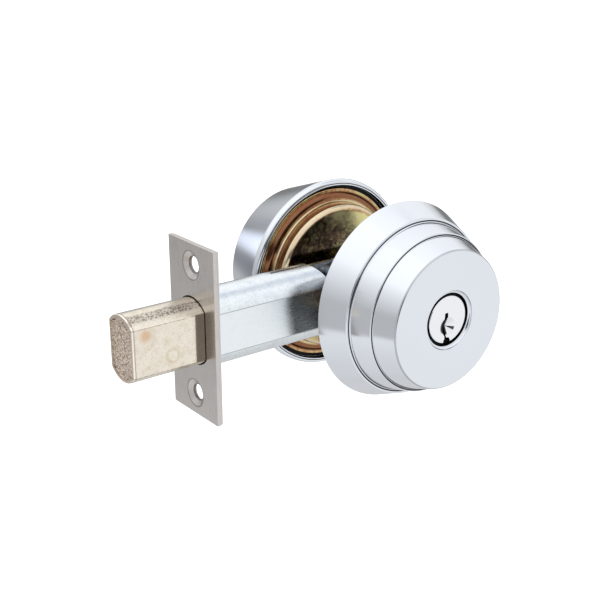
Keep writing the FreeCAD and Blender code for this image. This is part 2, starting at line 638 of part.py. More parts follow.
def make_mounting_posts():
    """Threaded posts riveted to the outer plate. The mounting screws enter them from inside the door."""
    posts = []
    for x in (-POST_PLACE, POST_PLACE):
        body = cylinder_y(POST_RADIUS, OUTER_PLATE_Y, POST_END_Y, x, 0)
        stub = cylinder_y(POST_STUB_RADIUS, OUTER_PLATE_FRONT_Y - POST_STUB_HEAD, OUTER_PLATE_Y, x, 0)
        bore = cylinder_y(SCREW_RADIUS, OUTER_PLATE_Y, POST_END_Y, x, 0)
        posts.append(body.fuse(stub).cut(bore).removeSplitter())
    return Part.makeCompound(posts)


# ---- cylinder
def pin_places():
    first = COLLAR_SHOULDER_Y + FIRST_PIN_FROM_SHOULDER
    return [first + PIN_PITCH * i for i in range(PIN_COUNT)]


def make_cylinder_shell():
    nose_y = COLLAR_FACE_Y + SHELL_NOSE_SETBACK
    shell = cylinder_y(COLLAR_BORE_RADIUS - RUNNING, nose_y, COLLAR_SHOULDER_Y)
    shell = shell.fuse(cylinder_y(SHELL_BARREL_RADIUS, COLLAR_SHOULDER_Y, OUTER_PLATE_FRONT_Y))
    shell = shell.fuse(cylinder_y(SHELL_TAIL_RADIUS, OUTER_PLATE_FRONT_Y, SHELL_TAIL_Y))
    bible = box(
        (-BIBLE_HALF_WIDTH, BIBLE_HALF_WIDTH), (COLLAR_SHOULDER_Y, OUTER_PLATE_FRONT_Y), (0, BIBLE_TOP_Z)
    )
    shell = shell.fuse(bible).removeSplitter()
    shell = shell.cut(cylinder_y(PLUG_RADIUS + RUNNING, nose_y - PAST, SHELL_TAIL_Y + PAST))
    shell = shell.cut(cylinder_y(PLUG_HEAD_RADIUS + RUNNING, nose_y - PAST, PLUG_HEAD_REAR_Y + RUNNING))
    for y in pin_places():
        shell = shell.cut(Part.makeCylinder(PIN_CHAMBER_RADIUS, BIBLE_TOP_Z, Vector(0, y, 0)))
    return shell


def make_spring_cover():
    first, last = pin_places()[0], pin_places()[-1]
    return box(
        (-BIBLE_HALF_WIDTH, BIBLE_HALF_WIDTH),
        (first - PIN_CHAMBER_RADIUS - SPRING_COVER_OVERLAP, last + PIN_CHAMBER_RADIUS + SPRING_COVER_OVERLAP),
        (BIBLE_TOP_Z, BIBLE_TOP_Z + SPRING_COVER_THICKNESS),
    )


def shear_line_z():
    return PLUG_RADIUS + RUNNING / 2


def make_driver_pins():
    base = shear_line_z() + RUNNING / 2
    return Part.makeCompound([Part.makeCylinder(PIN_RADIUS, DRIVER_LENGTH, Vector(0, y, base)) for y in pin_places()])


def make_pin_springs():
    springs = []
    start = shear_line_z() + RUNNING / 2 + DRIVER_LENGTH + PIN_SPRING_WIRE
    height = BIBLE_TOP_Z - PIN_SPRING_WIRE - start
    for y in pin_places():
        helix = Part.makeHelix(height / PIN_SPRING_TURNS, height, PIN_SPRING_RADIUS)
        wire = Part.makeCircle(PIN_SPRING_WIRE, Vector(PIN_SPRING_RADIUS, 0, 0), Vector(0, 1, 0))
        spring = Part.Wire(helix).makePipeShell([Part.Wire(wire)], True, True)
        spring.translate(Vector(0, y, start))
        springs.append(spring)
    return Part.makeCompound(springs)


def keyway_solid():
    """The key's slot: a tongue at the top, a jog to the left, and a foot that runs out of the plug's edge."""
    bottom = -PLUG_HEAD_RADIUS - PAST
    left = [(-1.25, 2.3), (-1.35, 0.3), (-1.5, -0.3), (-1.5, -5.0), (-1.15, -5.6), (-1.15, -6.5), (-1.6, -7.1)]
    right = [(0.1, 2.4), (0.2, 0.7), (-0.5, 0.0), (-0.5, -5.4), (-0.3, -6.1), (0.9, -6.3), (1.4, -7.3)]
    left, right = left + [(-1.6, bottom)], right + [(1.4, bottom)]
    return plate_xz(left + right[::-1], PLUG_FACE_Y - PAST, PLUG_REAR_Y - PLUG_BLIND_END)


def make_cylinder_plug():
    plug = cylinder_y(PLUG_HEAD_RADIUS, PLUG_FACE_Y, PLUG_HEAD_REAR_Y)
    plug = plug.fuse(cylinder_y(PLUG_RADIUS, PLUG_HEAD_REAR_Y, PLUG_REAR_Y)).removeSplitter()
    plug = round_edges(plug, PLUG_EDGE_ROUND, circle_edges(PLUG_HEAD_RADIUS, PLUG_FACE_Y))
    x, z = COUNTERSINK_KEY_PLACE
    radii, depth = (COUNTERSINK_KEY_RADIUS, COUNTERSINK_KEY_END_RADIUS), COUNTERSINK_KEY_DEPTH
    funnel = Part.makeCone(*radii, depth, Vector(x, PLUG_FACE_Y, z), Vector(0, 1, 0))
    plug = plug.cut(keyway_solid()).cut(funnel)
    for y, length in zip(pin_places(), KEY_PIN_LENGTHS):
        bottom = shear_line_z() - length - SLIDING
        height = PLUG_RADIUS + PAST - bottom
        plug = plug.cut(Part.makeCylinder(PIN_CHAMBER_RADIUS, height, Vector(0, y, bottom)))
    plug = plug.cut(plug_clip_solid())
    for screw in tailpiece_screw_shanks():
        plug = plug.cut(screw)
    return plug


def make_bottom_pins():
    pins = []
    top = shear_line_z() - RUNNING / 2
    for y, length in zip(pin_places(), KEY_PIN_LENGTHS):
        shoulder = Vector(0, y, top - length + KEY_PIN_POINT)
        body = Part.makeCylinder(PIN_RADIUS, length - KEY_PIN_POINT - KEY_PIN_SLACK, shoulder)
        tip = Part.makeCone(KEY_PIN_TIP_RADIUS, PIN_RADIUS, KEY_PIN_POINT, Vector(0, y, top - length))
        pins.append(body.fuse(tip).removeSplitter())
    return Part.makeCompound(pins)


def open_clip(radius, shaft_radius, y_start, thickness):
    """A C-shaped clip in a groove of a shaft, open at the bottom."""
    ring = ring_y(radius, shaft_radius * CLIP_GROOVE_SHARE, y_start, y_start + thickness)
    mouth = shaft_radius * CLIP_MOUTH_SHARE
    return ring.cut(box((-mouth, mouth), (y_start - PAST, y_start + thickness + PAST), (-radius - PAST, 0)))


def plug_clip_solid():
    return open_clip(PLUG_CLIP_RADIUS, PLUG_RADIUS, SHELL_TAIL_Y + PLUG_CLIP_GAP, PLUG_CLIP_THICKNESS)


def tailpiece_screw_shanks():
    start = PLUG_REAR_Y - TAILPIECE_SCREW_DEPTH
    places = (-TAILPIECE_SCREW_PLACE, TAILPIECE_SCREW_PLACE)
    end = PLUG_REAR_Y + TAILPIECE_DISC_THICKNESS
    return [cylinder_y(TAILPIECE_SCREW_RADIUS, start, end, x, 0) for x in places]


def make_tailpiece_screws():
    head_y = PLUG_REAR_Y + TAILPIECE_DISC_THICKNESS
    screws = []
    for shank, x in zip(tailpiece_screw_shanks(), (-TAILPIECE_SCREW_PLACE, TAILPIECE_SCREW_PLACE)):
        head = cylinder_y(TAILPIECE_SCREW_HEAD_RADIUS, head_y, head_y + TAILPIECE_SCREW_HEAD_HEIGHT, x, 0)
        screws.append(shank.fuse(head).removeSplitter())
    return Part.makeCompound(screws)


def make_tailpiece():
    disc = cylinder_y(TAILPIECE_DISC_RADIUS, PLUG_REAR_Y, PLUG_REAR_Y + TAILPIECE_DISC_THICKNESS)
    blade = box(
        (-TAILPIECE_THICKNESS / 2, TAILPIECE_THICKNESS / 2),
        (PLUG_REAR_Y, SPINDLE_END_Y + TAILPIECE_IN_SPINDLE),
        (-TAILPIECE_WIDTH / 2, TAILPIECE_WIDTH / 2),
    )
    tailpiece = disc.fuse(blade).removeSplitter()
    for shank in tailpiece_screw_shanks():
        tailpiece = tailpiece.cut(shank)
    return tailpiece


# ---- inner rose group
def make_inner_mounting_plate():
    """A pressed plate: flat flange, a raised bead, then a boss that stands into the cross bore."""
    thick = INNER_PLATE_THICKNESS
    front, back = INNER_PLATE_Y, INNER_PLATE_Y + thick
    bead = INNER_PLATE_BEAD_RADIUS
    rise = INNER_PLATE_BEAD_HEIGHT
    profile = [
        (INNER_PLATE_RADIUS, front),
        (INNER_PLATE_RADIUS, back),
        (bead + rise / 2, back),
        (bead - rise / 2, back - rise),
        (INNER_BOSS_RADIUS + rise, back - rise),
        (INNER_BOSS_RADIUS - thick, back - rise * 2),
        (INNER_BOSS_RADIUS - thick, INNER_BOSS_Y + thick),
        (INNER_PLATE_BORE_RADIUS, INNER_BOSS_Y + thick),
        (INNER_PLATE_BORE_RADIUS, INNER_BOSS_Y),
        (INNER_BOSS_RADIUS, INNER_BOSS_Y),
        (INNER_BOSS_RADIUS, front - rise * 1.6),
        (INNER_BOSS_RADIUS + rise, front - rise),
        (bead - rise / 2, front - rise),
        (bead + rise / 2, front),
    ]
    plate = turned(profile)
    plate = round_edges(plate, INNER_BOSS_LIP, circle_edges(INNER_BOSS_RADIUS, INNER_BOSS_Y))
    for x in (-POST_PLACE, POST_PLACE):
        plate = plate.cut(cylinder_y(SCREW_RADIUS + LOOSE, 0, back, x, 0))
    return plate


def make_mounting_screws():
    seat = INNER_BOSS_Y + INNER_PLATE_THICKNESS
    top = seat + SCREW_HEAD_HEIGHT
    end = POST_END_Y - SCREW_ENGAGEMENT
    screws = []
    for x in (-POST_PLACE, POST_PLACE):
        shank = cylinder_y(SCREW_RADIUS, end, seat, x, 0)
        head = cylinder_y(SCREW_HEAD_RADIUS, seat, top, x, 0)
        head = round_edges(head, SCREW_HEAD_ROUND, lambda e: abs(e.Vertexes[0].Point.y - top) < 1e-6)
        depth = (top - SCREW_HEAD_HEIGHT / 2, top + PAST)
        long, short = SCREW_CROSS_LENGTH / 2, SCREW_CROSS_WIDTH / 2
        for across, up in ((long, short), (short, long)):
            head = head.cut(box((x - across, x + across), depth, (-up, up)))
        screws.append(shank.fuse(head).removeSplitter())
    return Part.makeCompound(screws)


def make_inner_rose():
    """A cap with a rounded rim on the door. A step inside the rim seats on the mounting plate's flange."""
    rim, front = INSIDE_FACE_Y, ROSE_FRONT_Y
    seat_y = INNER_PLATE_Y + INNER_PLATE_THICKNESS
    profile = [
        (ROSE_RIM_INNER_RADIUS, rim),
        (ROSE_RIM_FLAT_RADIUS, rim),
        (ROSE_LARGEST_RADIUS - ROSE_SWELL[0], rim + ROSE_SWELL[1]),
        (ROSE_LARGEST_RADIUS, rim + ROSE_LARGEST_DEPTH),
        (ROSE_FRONT_RADIUS, front),
        (SPINDLE_RADIUS + RUNNING, front),
        (SPINDLE_RADIUS + RUNNING, front - ROSE_WALL),
        (ROSE_FRONT_RADIUS - ROSE_WALL, front - ROSE_WALL),
        (ROSE_SEAT_RADIUS, seat_y + ROSE_WALL),
        (ROSE_SEAT_RADIUS, seat_y),
        (ROSE_RIM_INNER_RADIUS, seat_y),
    ]
    rose = turned(profile)
    rose = round_edges(rose, ROSE_EDGE_ROUND, circle_edges(ROSE_FRONT_RADIUS, front))
    centre, down = Vector(0, set_screw_y(), 0), Vector(0, 0, -1)
    return rose.cut(Part.makeCylinder(SET_SCREW_RADIUS, ROSE_LARGEST_RADIUS, centre, down))


def set_screw_y():
    return INNER_PLATE_Y + INNER_PLATE_THICKNESS / 2


def set_screw_solid():
    """A set screw through the rose's rim at the bottom. Its tip presses on the mounting plate's edge."""
    outer = ROSE_LARGEST_RADIUS - SET_SCREW_DEPTH
    start = Vector(0, set_screw_y(), -outer)
    return Part.makeCylinder(SET_SCREW_RADIUS, outer - INNER_PLATE_RADIUS, start, Vector(0, 0, 1))


def make_rose_set_screw():
    screw = set_screw_solid()
    bottom = screw.BoundBox.ZMin
    y = set_screw_y()
    points = []
    for i in range(6):
        angle = math.radians(60 * i)
        across, along = SET_SCREW_SOCKET_RADIUS * math.cos(angle), SET_SCREW_SOCKET_RADIUS * math.sin(angle)
        points.append(Vector(across, y + along, bottom - PAST))
    hexagon = Part.Face(Part.makePolygon(points + points[:1]))
    return screw.cut(hexagon.extrude(Vector(0, 0, SET_SCREW_SOCKET_DEPTH + PAST)))


def make_thumbturn():
    """Shown with the bolt thrown, so its grip lies level. Turned upright, it has drawn the bolt back."""
    face = ROSE_FRONT_Y + THUMB_GAP
    spindle = cylinder_y(SPINDLE_RADIUS, SPINDLE_END_Y, face)
    collar = cylinder_y(THUMB_COLLAR_RADIUS, face, face + THUMB_COLLAR_HEIGHT)
    collar_top = face + THUMB_COLLAR_HEIGHT
    collar = round_edges(collar, THUMB_COLLAR_ROUND, lambda e: abs(e.Vertexes[0].Point.y - collar_top) < 1e-6)
    foot, end = face + THUMB_COLLAR_HEIGHT / 3, face + THUMB_PROJECTION
    roots = [Vector(side * THUMB_ROOT_HALF_LENGTH, foot, 0) for side in (-1, 1)]
    corners = [Vector(side * THUMB_HALF_LENGTH, end - THUMB_CORNER_DROP, 0) for side in (-1, 1)]
    edges = [
        Part.LineSegment(roots[0], corners[0]).toShape(),
        Part.Arc(corners[0], Vector(0, end, 0), corners[1]).toShape(),
        Part.LineSegment(corners[1], roots[1]).toShape(),
        Part.LineSegment(roots[1], roots[0]).toShape(),
    ]
    grip = Part.Face(Part.Wire(edges)).extrude(Vector(0, 0, THUMB_THICKNESS))
    grip.translate(Vector(0, 0, -THUMB_THICKNESS / 2))
    grip = round_edges(grip, THUMB_EDGE_ROUND, lambda e: e.BoundBox.ZLength < 1e-6)
    thumbturn = spindle.fuse([collar, grip]).removeSplitter()
    socket = tailpiece_slot(SPINDLE_END_Y - PAST, SPINDLE_END_Y + TAILPIECE_IN_SPINDLE + PAST)
    return thumbturn.cut(socket).cut(thumbturn_clip_solid())


def thumbturn_clip_solid():
    start = ROSE_FRONT_Y - ROSE_WALL - THUMB_WASHER_THICKNESS - THUMB_GAP - THUMB_CLIP_THICKNESS
    return open_clip(THUMB_CLIP_RADIUS, SPINDLE_RADIUS, start, THUMB_CLIP_THICKNESS)


def make_thumbturn_washer():
    end = ROSE_FRONT_Y - ROSE_WALL
    return ring_y(THUMB_WASHER_RADIUS, SPINDLE_RADIUS + 2 * RUNNING, end - THUMB_WASHER_THICKNESS, end)


case_plate_inner = make_case_plate()
NODES = {
    "faceplate": make_faceplate(),
    "backing_plate": make_backing_plate(),
    "bolt_tube": make_bolt_tube(),
    "case_plate_inner": case_plate_inner,
    "case_plate_outer": case_plate_inner.mirror(Vector(0, 0, 0), Vector(0, 1, 0)),
    "case_rivets": make_case_rivets(),
    "detent_spring": make_detent_spring(),
    "deadbolt": make_deadbolt(),
    "bolt_roller": make_bolt_roller(),
    "roller_pin": roller_pin_solid(),
    "bolt_tail": make_bolt_tail(),
    "tail_rivets": Part.makeCompound(tail_rivet_solids()),
    "crank_hub": make_crank_hub(),
    "crank_pin": crank_pin_solid(),
    "outer_collar": make_outer_collar(),
    "outer_mounting_plate": make_outer_mounting_plate(),
    "mounting_posts": make_mounting_posts(),
    "collar_screws": make_collar_screws(),
    "cylinder_shell": make_cylinder_shell(),
    "spring_cover": make_spring_cover(),
    "driver_pins": make_driver_pins(),
    "pin_springs": make_pin_springs(),
    "cylinder_plug": make_cylinder_plug(),
    "bottom_pins": make_bottom_pins(),
    "plug_clip": plug_clip_solid(),
    "tailpiece": make_tailpiece(),
    "tailpiece_screws": make_tailpiece_screws(),
    "inner_mounting_plate": make_inner_mounting_plate(),
    "mounting_screws": make_mounting_screws(),
    "inner_rose": make_inner_rose(),
    "rose_set_screw": make_rose_set_screw(),
    "thumbturn": make_thumbturn(),
    "thumbturn_clip": thumbturn_clip_solid(),
    "thumbturn_washer": make_thumbturn_washer(),
}

os.makedirs("parts", exist_ok=True)
for name, shape in NODES.items():
    solids = shape.Solids
    print(f"{name:22s} solids {len(solids)} valid {shape.isValid()} volume {shape.Volume:9.1f}")
    shape.exportStep(f"parts/{name}.step")
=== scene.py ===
# %% [markdown]
# # A deadbolt door lock
#
# The lock is laid out as it stands in a door, with its bolt thrown: a faceplate and bolt on the left, a
# stepped collar with the key cylinder in front, and a tapered rose with the thumbturn behind. Its
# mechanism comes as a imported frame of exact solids. This script keeps the inner pieces as they are and
# gives them finishes, and models again by hand the pieces that the eye rests on, with rounded edges and
# real surface detail.

# %% Load the frame
import json
import math

import bpy
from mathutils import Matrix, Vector


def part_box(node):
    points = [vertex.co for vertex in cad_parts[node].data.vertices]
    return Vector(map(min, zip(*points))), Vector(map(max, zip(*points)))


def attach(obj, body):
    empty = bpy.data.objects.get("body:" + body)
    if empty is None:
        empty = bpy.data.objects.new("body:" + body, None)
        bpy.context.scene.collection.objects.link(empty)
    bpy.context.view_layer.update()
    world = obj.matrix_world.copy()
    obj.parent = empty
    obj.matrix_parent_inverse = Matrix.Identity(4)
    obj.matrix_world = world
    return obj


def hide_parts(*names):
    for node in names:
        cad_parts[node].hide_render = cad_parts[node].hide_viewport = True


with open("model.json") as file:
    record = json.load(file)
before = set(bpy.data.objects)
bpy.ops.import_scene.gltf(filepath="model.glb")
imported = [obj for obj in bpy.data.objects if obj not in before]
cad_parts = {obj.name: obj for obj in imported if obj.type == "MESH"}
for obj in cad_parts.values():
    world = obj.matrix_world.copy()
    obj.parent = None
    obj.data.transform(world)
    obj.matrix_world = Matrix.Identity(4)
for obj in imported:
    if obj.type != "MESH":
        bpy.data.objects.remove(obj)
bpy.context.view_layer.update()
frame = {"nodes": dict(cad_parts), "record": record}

# %% [markdown]
# Blender works in metres and a locksmith in millimetres, so every length below is written in millimetres
# and multiplied by one factor where it enters Blender. Sizes that the frame knows are read from it. A
# cutter reaches past what it cuts by `PAST`, and points closer than a `HAIR` count as one.

# %% Lengths
MM = 0.001
HAIR = 0.001
PAST = 1.0


def span(node):
    """The lowest and highest corner of a node of the frame, in millimetres."""
    low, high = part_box(node)
    return low / MM, high / MM


collar_low, collar_high = span("outer_collar")
rose_low, rose_high = span("inner_rose")
plate_low, plate_high = span("faceplate")
bolt_low, bolt_high = span("deadbolt")
tube_low, tube_high = span("bolt_tube")

# %% [markdown]
# A few small helpers do what a hand does. `only` leaves one object selected, `pick` selects what it is
# told to in edit mode, `modify` adds a modifier and applies it, and `carve` cuts one piece with another.
# `finish_piece` applies the place to the mesh, so that the piece sits at the origin as the frame's nodes
# do. It then smooths the shading up to an angle, and a weighted-normal modifier keeps flat faces truly
# flat beside their rounded edges, which matters on metal.

# %% Helpers for modelling
MERGE_GAP = 1e-7
SMOOTH_ANGLE = 30
BREAK_ANGLE = 35


def only(piece):
    bpy.ops.object.select_all(action="DESELECT")
    piece.select_set(True)
    bpy.context.view_layer.objects.active = piece


def pick(piece, kind, wanted):
    """Opens edit mode with those faces, edges or vertices selected for which wanted(item) is true."""
    leave_edit()
    only(piece)
    bpy.ops.object.mode_set(mode="EDIT")
    bpy.ops.mesh.select_mode(type={"vertices": "VERT", "edges": "EDGE", "polygons": "FACE"}[kind])
    bpy.ops.mesh.select_all(action="DESELECT")
    bpy.ops.object.mode_set(mode="OBJECT")
    for item in getattr(piece.data, kind):
        item.select = bool(wanted(item))
    bpy.ops.object.mode_set(mode="EDIT")


def leave_edit():
    if bpy.context.mode != "OBJECT":
        bpy.ops.object.mode_set(mode="OBJECT")


def modify(piece, kind, **settings):
    """Adds one modifier and applies it."""
    only(piece)
    modifier = piece.modifiers.new(kind.title(), kind)
    for key, value in settings.items():
        setattr(modifier, key, value)
    bpy.ops.object.modifier_apply(modifier=modifier.name)


def mend(piece, gap=MERGE_GAP):
    """Merges doubled points and turns every face outwards."""
    only(piece)
    bpy.ops.object.mode_set(mode="EDIT")
    bpy.ops.mesh.select_all(action="SELECT")
    bpy.ops.mesh.remove_doubles(threshold=gap)
    bpy.ops.mesh.normals_make_consistent(inside=False)
    leave_edit()


def finish_piece(piece, name, body, finish, nodes=(), smooth=SMOOTH_ANGLE):
    """Names a finished piece, applies its place, shades it, ties it to its body, and hides the nodes that
    it stands in for.
    """
    only(piece)
    bpy.ops.object.transform_apply(location=True, rotation=True, scale=True)
    bpy.ops.object.shade_smooth_by_angle(angle=math.radians(smooth))
    modify(piece, "WEIGHTED_NORMAL", keep_sharp=True)
    piece.name = piece.data.name = name
    piece.data.materials.clear()
    piece.data.materials.append(finish)
    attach(piece, body)
    if nodes:
        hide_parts(*nodes)
    print(f"{name}: {len(piece.data.vertices)} points")
    return piece


def carve(piece, cutter, operation="DIFFERENCE"):
    """Cuts one piece with another, and removes the cutter."""
    modify(piece, "BOOLEAN", object=cutter, operation=operation, solver="EXACT")
    bpy.data.objects.remove(cutter)
    return piece


def break_edges(piece, width, segments=3, angle=BREAK_ANGLE):
    """Rounds every edge that turns more than the angle."""
    modify(
        piece, "BEVEL", width=width * MM, segments=segments, limit_method="ANGLE",
        angle_limit=math.radians(angle),
    )
    return piece


# %% [markdown]
# Most of the lock's outside is lathe work, so one helper turns it up. It starts from a circle and
# extrudes it from ring to ring, scaling each new ring to its radius, until it closes on the first one. A
# bevel then breaks every corner by a fraction of a millimetre: that small round is what catches the light
# on a real turned part.

# %% A lathe
LATHE_STEPS = 224
LATHE_GAP = 2e-6
LATHE_ANGLE = 20
QUARTER = math.pi / 2


def turn_up(rings, bevel=0.0, bevel_segments=3):
    """Turns a closed outline of (radius, y) points about the Y axis."""
    radius, y = rings[0]
    bpy.ops.mesh.primitive_circle_add(
        vertices=LATHE_STEPS, radius=radius * MM, location=(0, y * MM, 0), rotation=(QUARTER, 0, 0)
    )
    piece = bpy.context.object
    bpy.ops.object.mode_set(mode="EDIT")
    bpy.ops.mesh.select_all(action="SELECT")
    for (old_radius, old_y), (new_radius, new_y) in zip(rings, rings[1:] + rings[:1]):
        bpy.ops.mesh.extrude_region_move(TRANSFORM_OT_translate={"value": (0, (new_y - old_y) * MM, 0)})
        grow = new_radius / old_radius
        bpy.ops.transform.resize(value=(grow, 1, grow), center_override=(0, new_y * MM, 0))
    leave_edit()
    mend(piece, LATHE_GAP)
    return break_edges(piece, bevel, bevel_segments, LATHE_ANGLE) if bevel else piece


def arc_rings(centre, size, start, end, count):
    """Ring points on an arc, with angles in degrees; size is a radius, or (radial, along Y)."""
    across, along = size if isinstance(size, tuple) else (size, size)
    angles = [math.radians(start + (end - start) * i / count) for i in range(count + 1)]
    return [(centre[0] + across * math.cos(angle), centre[1] + along * math.sin(angle)) for angle in angles]


# %% [markdown]
# The bolt and its tube share a section that no primitive has: flat sides under a rounded crown. A filled
# circle becomes that section when its upper and lower halves are moved apart or together, and its sides
# are sliced off flat. It is then extruded to length.

# %% Bars, blocks and rods
CROWN_STEPS = 160
ROD_STEPS = 64


def crown_radius(width, height, flat_height):
    rise = (height - flat_height) / 2
    return ((width / 2) ** 2 + rise**2) / (2 * rise)


def crowned_bar(width, height, flat_height, x_start, x_end, shrink=0.0):
    """A bar along X with flat sides and rounded top and bottom; shrink moves the whole outline inwards."""
    radius = crown_radius(width, height, flat_height)
    centre = height / 2 - radius
    half_width = width / 2 - shrink
    bpy.ops.mesh.primitive_circle_add(
        vertices=CROWN_STEPS, radius=(radius - shrink) * MM, fill_type="NGON",
        location=(x_start * MM, 0, 0), rotation=(0, QUARTER, 0),
    )
    bar = bpy.context.object
    bpy.ops.object.transform_apply(location=True, rotation=True, scale=True)
    for side in (-1, 1):
        pick(bar, "vertices", lambda vertex: vertex.co.z * side > HAIR * MM)
        bpy.ops.transform.translate(value=(0, 0, side * centre * MM))
    for side in (-1, 1):
        bpy.ops.mesh.select_all(action="SELECT")
        bpy.ops.mesh.bisect(
            plane_co=(0, side * half_width * MM, 0), plane_no=(0, side, 0),
            clear_outer=True, clear_inner=False,
        )
    bpy.ops.mesh.select_all(action="SELECT")
    bpy.ops.mesh.extrude_region_move(TRANSFORM_OT_translate={"value": ((x_end - x_start) * MM, 0, 0)})
    leave_edit()
    mend(bar)
    return bar


def block(low, high):
    """A box between two corners."""
    middle = [(a + b) / 2 * MM for a, b in zip(low, high)]
    size = [(b - a) * MM for a, b in zip(low, high)]
    bpy.ops.mesh.primitive_cube_add(size=1, location=middle, scale=size)
    bpy.ops.object.transform_apply(location=True, rotation=True, scale=True)
    return bpy.context.object


def rod(radius, start, end, end_radius=None):
    """A cylinder between two points, or a cone when it ends in another radius."""
    start, end = Vector(start), Vector(end)
    bpy.ops.mesh.primitive_cone_add(
        vertices=ROD_STEPS, radius1=radius * MM, radius2=(end_radius or radius) * MM,
        depth=(end - start).length * MM, location=(start + end) / 2 * MM,
    )
    piece = bpy.context.object
    piece.rotation_mode = "QUATERNION"
    piece.rotation_quaternion = (end - start).to_track_quat("Z", "Y")
    bpy.ops.object.transform_apply(location=True, rotation=True, scale=True)
    return piece


# %% [markdown]
# ## Finishes
#
# A material is arithmetic on positions: how far from an axis, how much noise, how rough. `Signal` wraps
# one output of a node so that this arithmetic reads as Python, and `Finish` makes one material and hands
# out the nodes. Masks are signals between 0 and 1: `step` rises, `fall` falls, and `near` is 1 close to a
# place.

# %% Shader arithmetic
MIDDLE = 0.5


def operator(operation, swapped=False):
    """One of Python's operators, as a node."""

    def apply(self, other):
        return self.maths(operation, *((other, self) if swapped else (self, other)))

    return apply


class Signal:
    """One output of a material's nodes, with Python's operators on it."""

    def __init__(self, tree, socket):
        self.tree = tree
        self.socket = socket

    def maths(self, operation, *operands):
        node = self.tree.nodes.new("ShaderNodeMath")
        node.operation = operation
        for slot, operand in zip(node.inputs, operands):
            connect(self.tree, slot, operand)
        return Signal(self.tree, node.outputs[0])

    __add__ = __radd__ = operator("ADD")
    __sub__ = operator("SUBTRACT")
    __rsub__ = operator("SUBTRACT", swapped=True)
    __mul__ = __rmul__ = operator("MULTIPLY")
    __truediv__ = operator("DIVIDE")
    __pow__ = operator("POWER")

    def absolute(self):
        return self.maths("ABSOLUTE", self)

    def arcsine(self):
        return self.maths("ARCSINE", self)

    def step(self, low, high):
        """0 below low, 1 above high, and smooth between."""
        node = self.tree.nodes.new("ShaderNodeMapRange")
        node.interpolation_type = "SMOOTHSTEP"
        for slot, value in zip(node.inputs, (self, low, high, 0.0, 1.0)):
            connect(self.tree, slot, value)
        return Signal(self.tree, node.outputs[0])

    def fall(self, low, high):
        """1 below low, 0 above high, and smooth between."""
        return 1 - self.step(low, high)

    def near(self, place, low, high):
        """1 within low of a place, and 0 further than high from it."""
        return (self - place).absolute().fall(low, high)

    def swing(self, amount, middle=MIDDLE):
        """So much of the signal, up and down about its middle."""
        return (self - middle) * amount


def away(across, up):
    """The distance from an axis."""
    return (across * across + up * up) ** 0.5


def connect(tree, slot, value):
    """Links a signal to a socket, or writes a plain value on it."""
    if isinstance(value, Signal):
        tree.links.new(value.socket, slot)
    else:
        slot.default_value = value


class Board:
    """A board of nodes: the tree of a material or of the world."""

    def __init__(self, tree):
        self.tree = tree

    def node(self, kind, settings=None, inputs=None, output=0):
        """Any node: its settings first, then the values or links of its sockets."""
        node = self.tree.nodes.new(kind)
        for key, value in (settings or {}).items():
            setattr(node, key, value)
        for key, value in (inputs or {}).items():
            connect(self.tree, node.inputs[key], value)
        return Signal(self.tree, node.outputs[output])

    def parts_of(self, vector):
        """The three numbers of a vector, as signals."""
        return [self.node("ShaderNodeSeparateXYZ", inputs={"Vector": vector}, output=i) for i in range(3)]

    def vector(self, x, y, z):
        return self.node("ShaderNodeCombineXYZ", inputs={"X": x, "Y": y, "Z": z})

    def mix(self, first, second, factor):
        """A colour between two. Of the node's sockets, 0 is the factor, and 6 and 7 are the colours."""
        colours = [value if isinstance(value, Signal) else (*value, 1) for value in (first, second)]
        inputs = {0: factor, 6: colours[0], 7: colours[1]}
        return self.node("ShaderNodeMix", {"data_type": "RGBA", "clamp_factor": True}, inputs, 2)

    def coats(self, colour, coats, masks):
        """Lays named coats of (colour, strength) over a colour, in order, each where its mask is 1."""
        for name, (tint, strength) in coats.items():
            colour = self.mix(colour, tint, masks[name] * strength)
        return colour

    def ramp(self, value, stops):
        """A colour by value, between stops of (place, colour)."""
        colour = self.node("ShaderNodeValToRGB", inputs={"Fac": value})
        elements = colour.socket.node.color_ramp.elements
        while len(elements) < len(stops):
            elements.new(1.0)
        for element, (place, tint) in zip(elements, stops):
            element.position = place
            element.color = (*tint, 1)
        return colour


class Finish(Board):
    """One material round a single principled shader."""

    def __init__(self, name, metallic=1.0):
        self.material = bpy.data.materials.new(name)
        self.material.use_nodes = True
        super().__init__(self.material.node_tree)
        self.shader = self.tree.nodes["Principled BSDF"]
        self.set("Metallic", metallic)

    def set(self, socket, value):
        connect(self.tree, self.shader.inputs[socket], value)

    def place(self, stretch=(1, 1, 1)):
        """The position on the piece in millimetres, stretched along each axis."""
        position = self.node("ShaderNodeTexCoord", output="Object")
        scale = [factor / MM for factor in stretch]
        return self.node("ShaderNodeMapping", inputs={"Vector": position, "Scale": scale})

    def noise(self, settings, vector=None):
        """Noise with settings of (scale, detail, roughness), at the position or at another vector."""
        scale, detail, roughness = settings
        inputs = {"Vector": vector or self.place(), "Scale": scale}
        inputs.update({"Detail": detail, "Roughness": roughness})
        return self.node("ShaderNodeTexNoise", inputs=inputs)

    def grains(self, vector, scale):
        return self.node("ShaderNodeTexVoronoi", inputs={"Vector": vector, "Scale": scale})

    def dress(self, colour, roughness, relief, depth):
        """Sets colour, roughness and a bump of a depth in millimetres, and gives the material."""
        self.set("Base Color", colour)
        self.set("Roughness", roughness)
        inputs = {"Height": relief, "Distance": depth * MM, "Strength": 1.0}
        self.set("Normal", self.node("ShaderNodeBump", inputs=inputs))
        return self.material
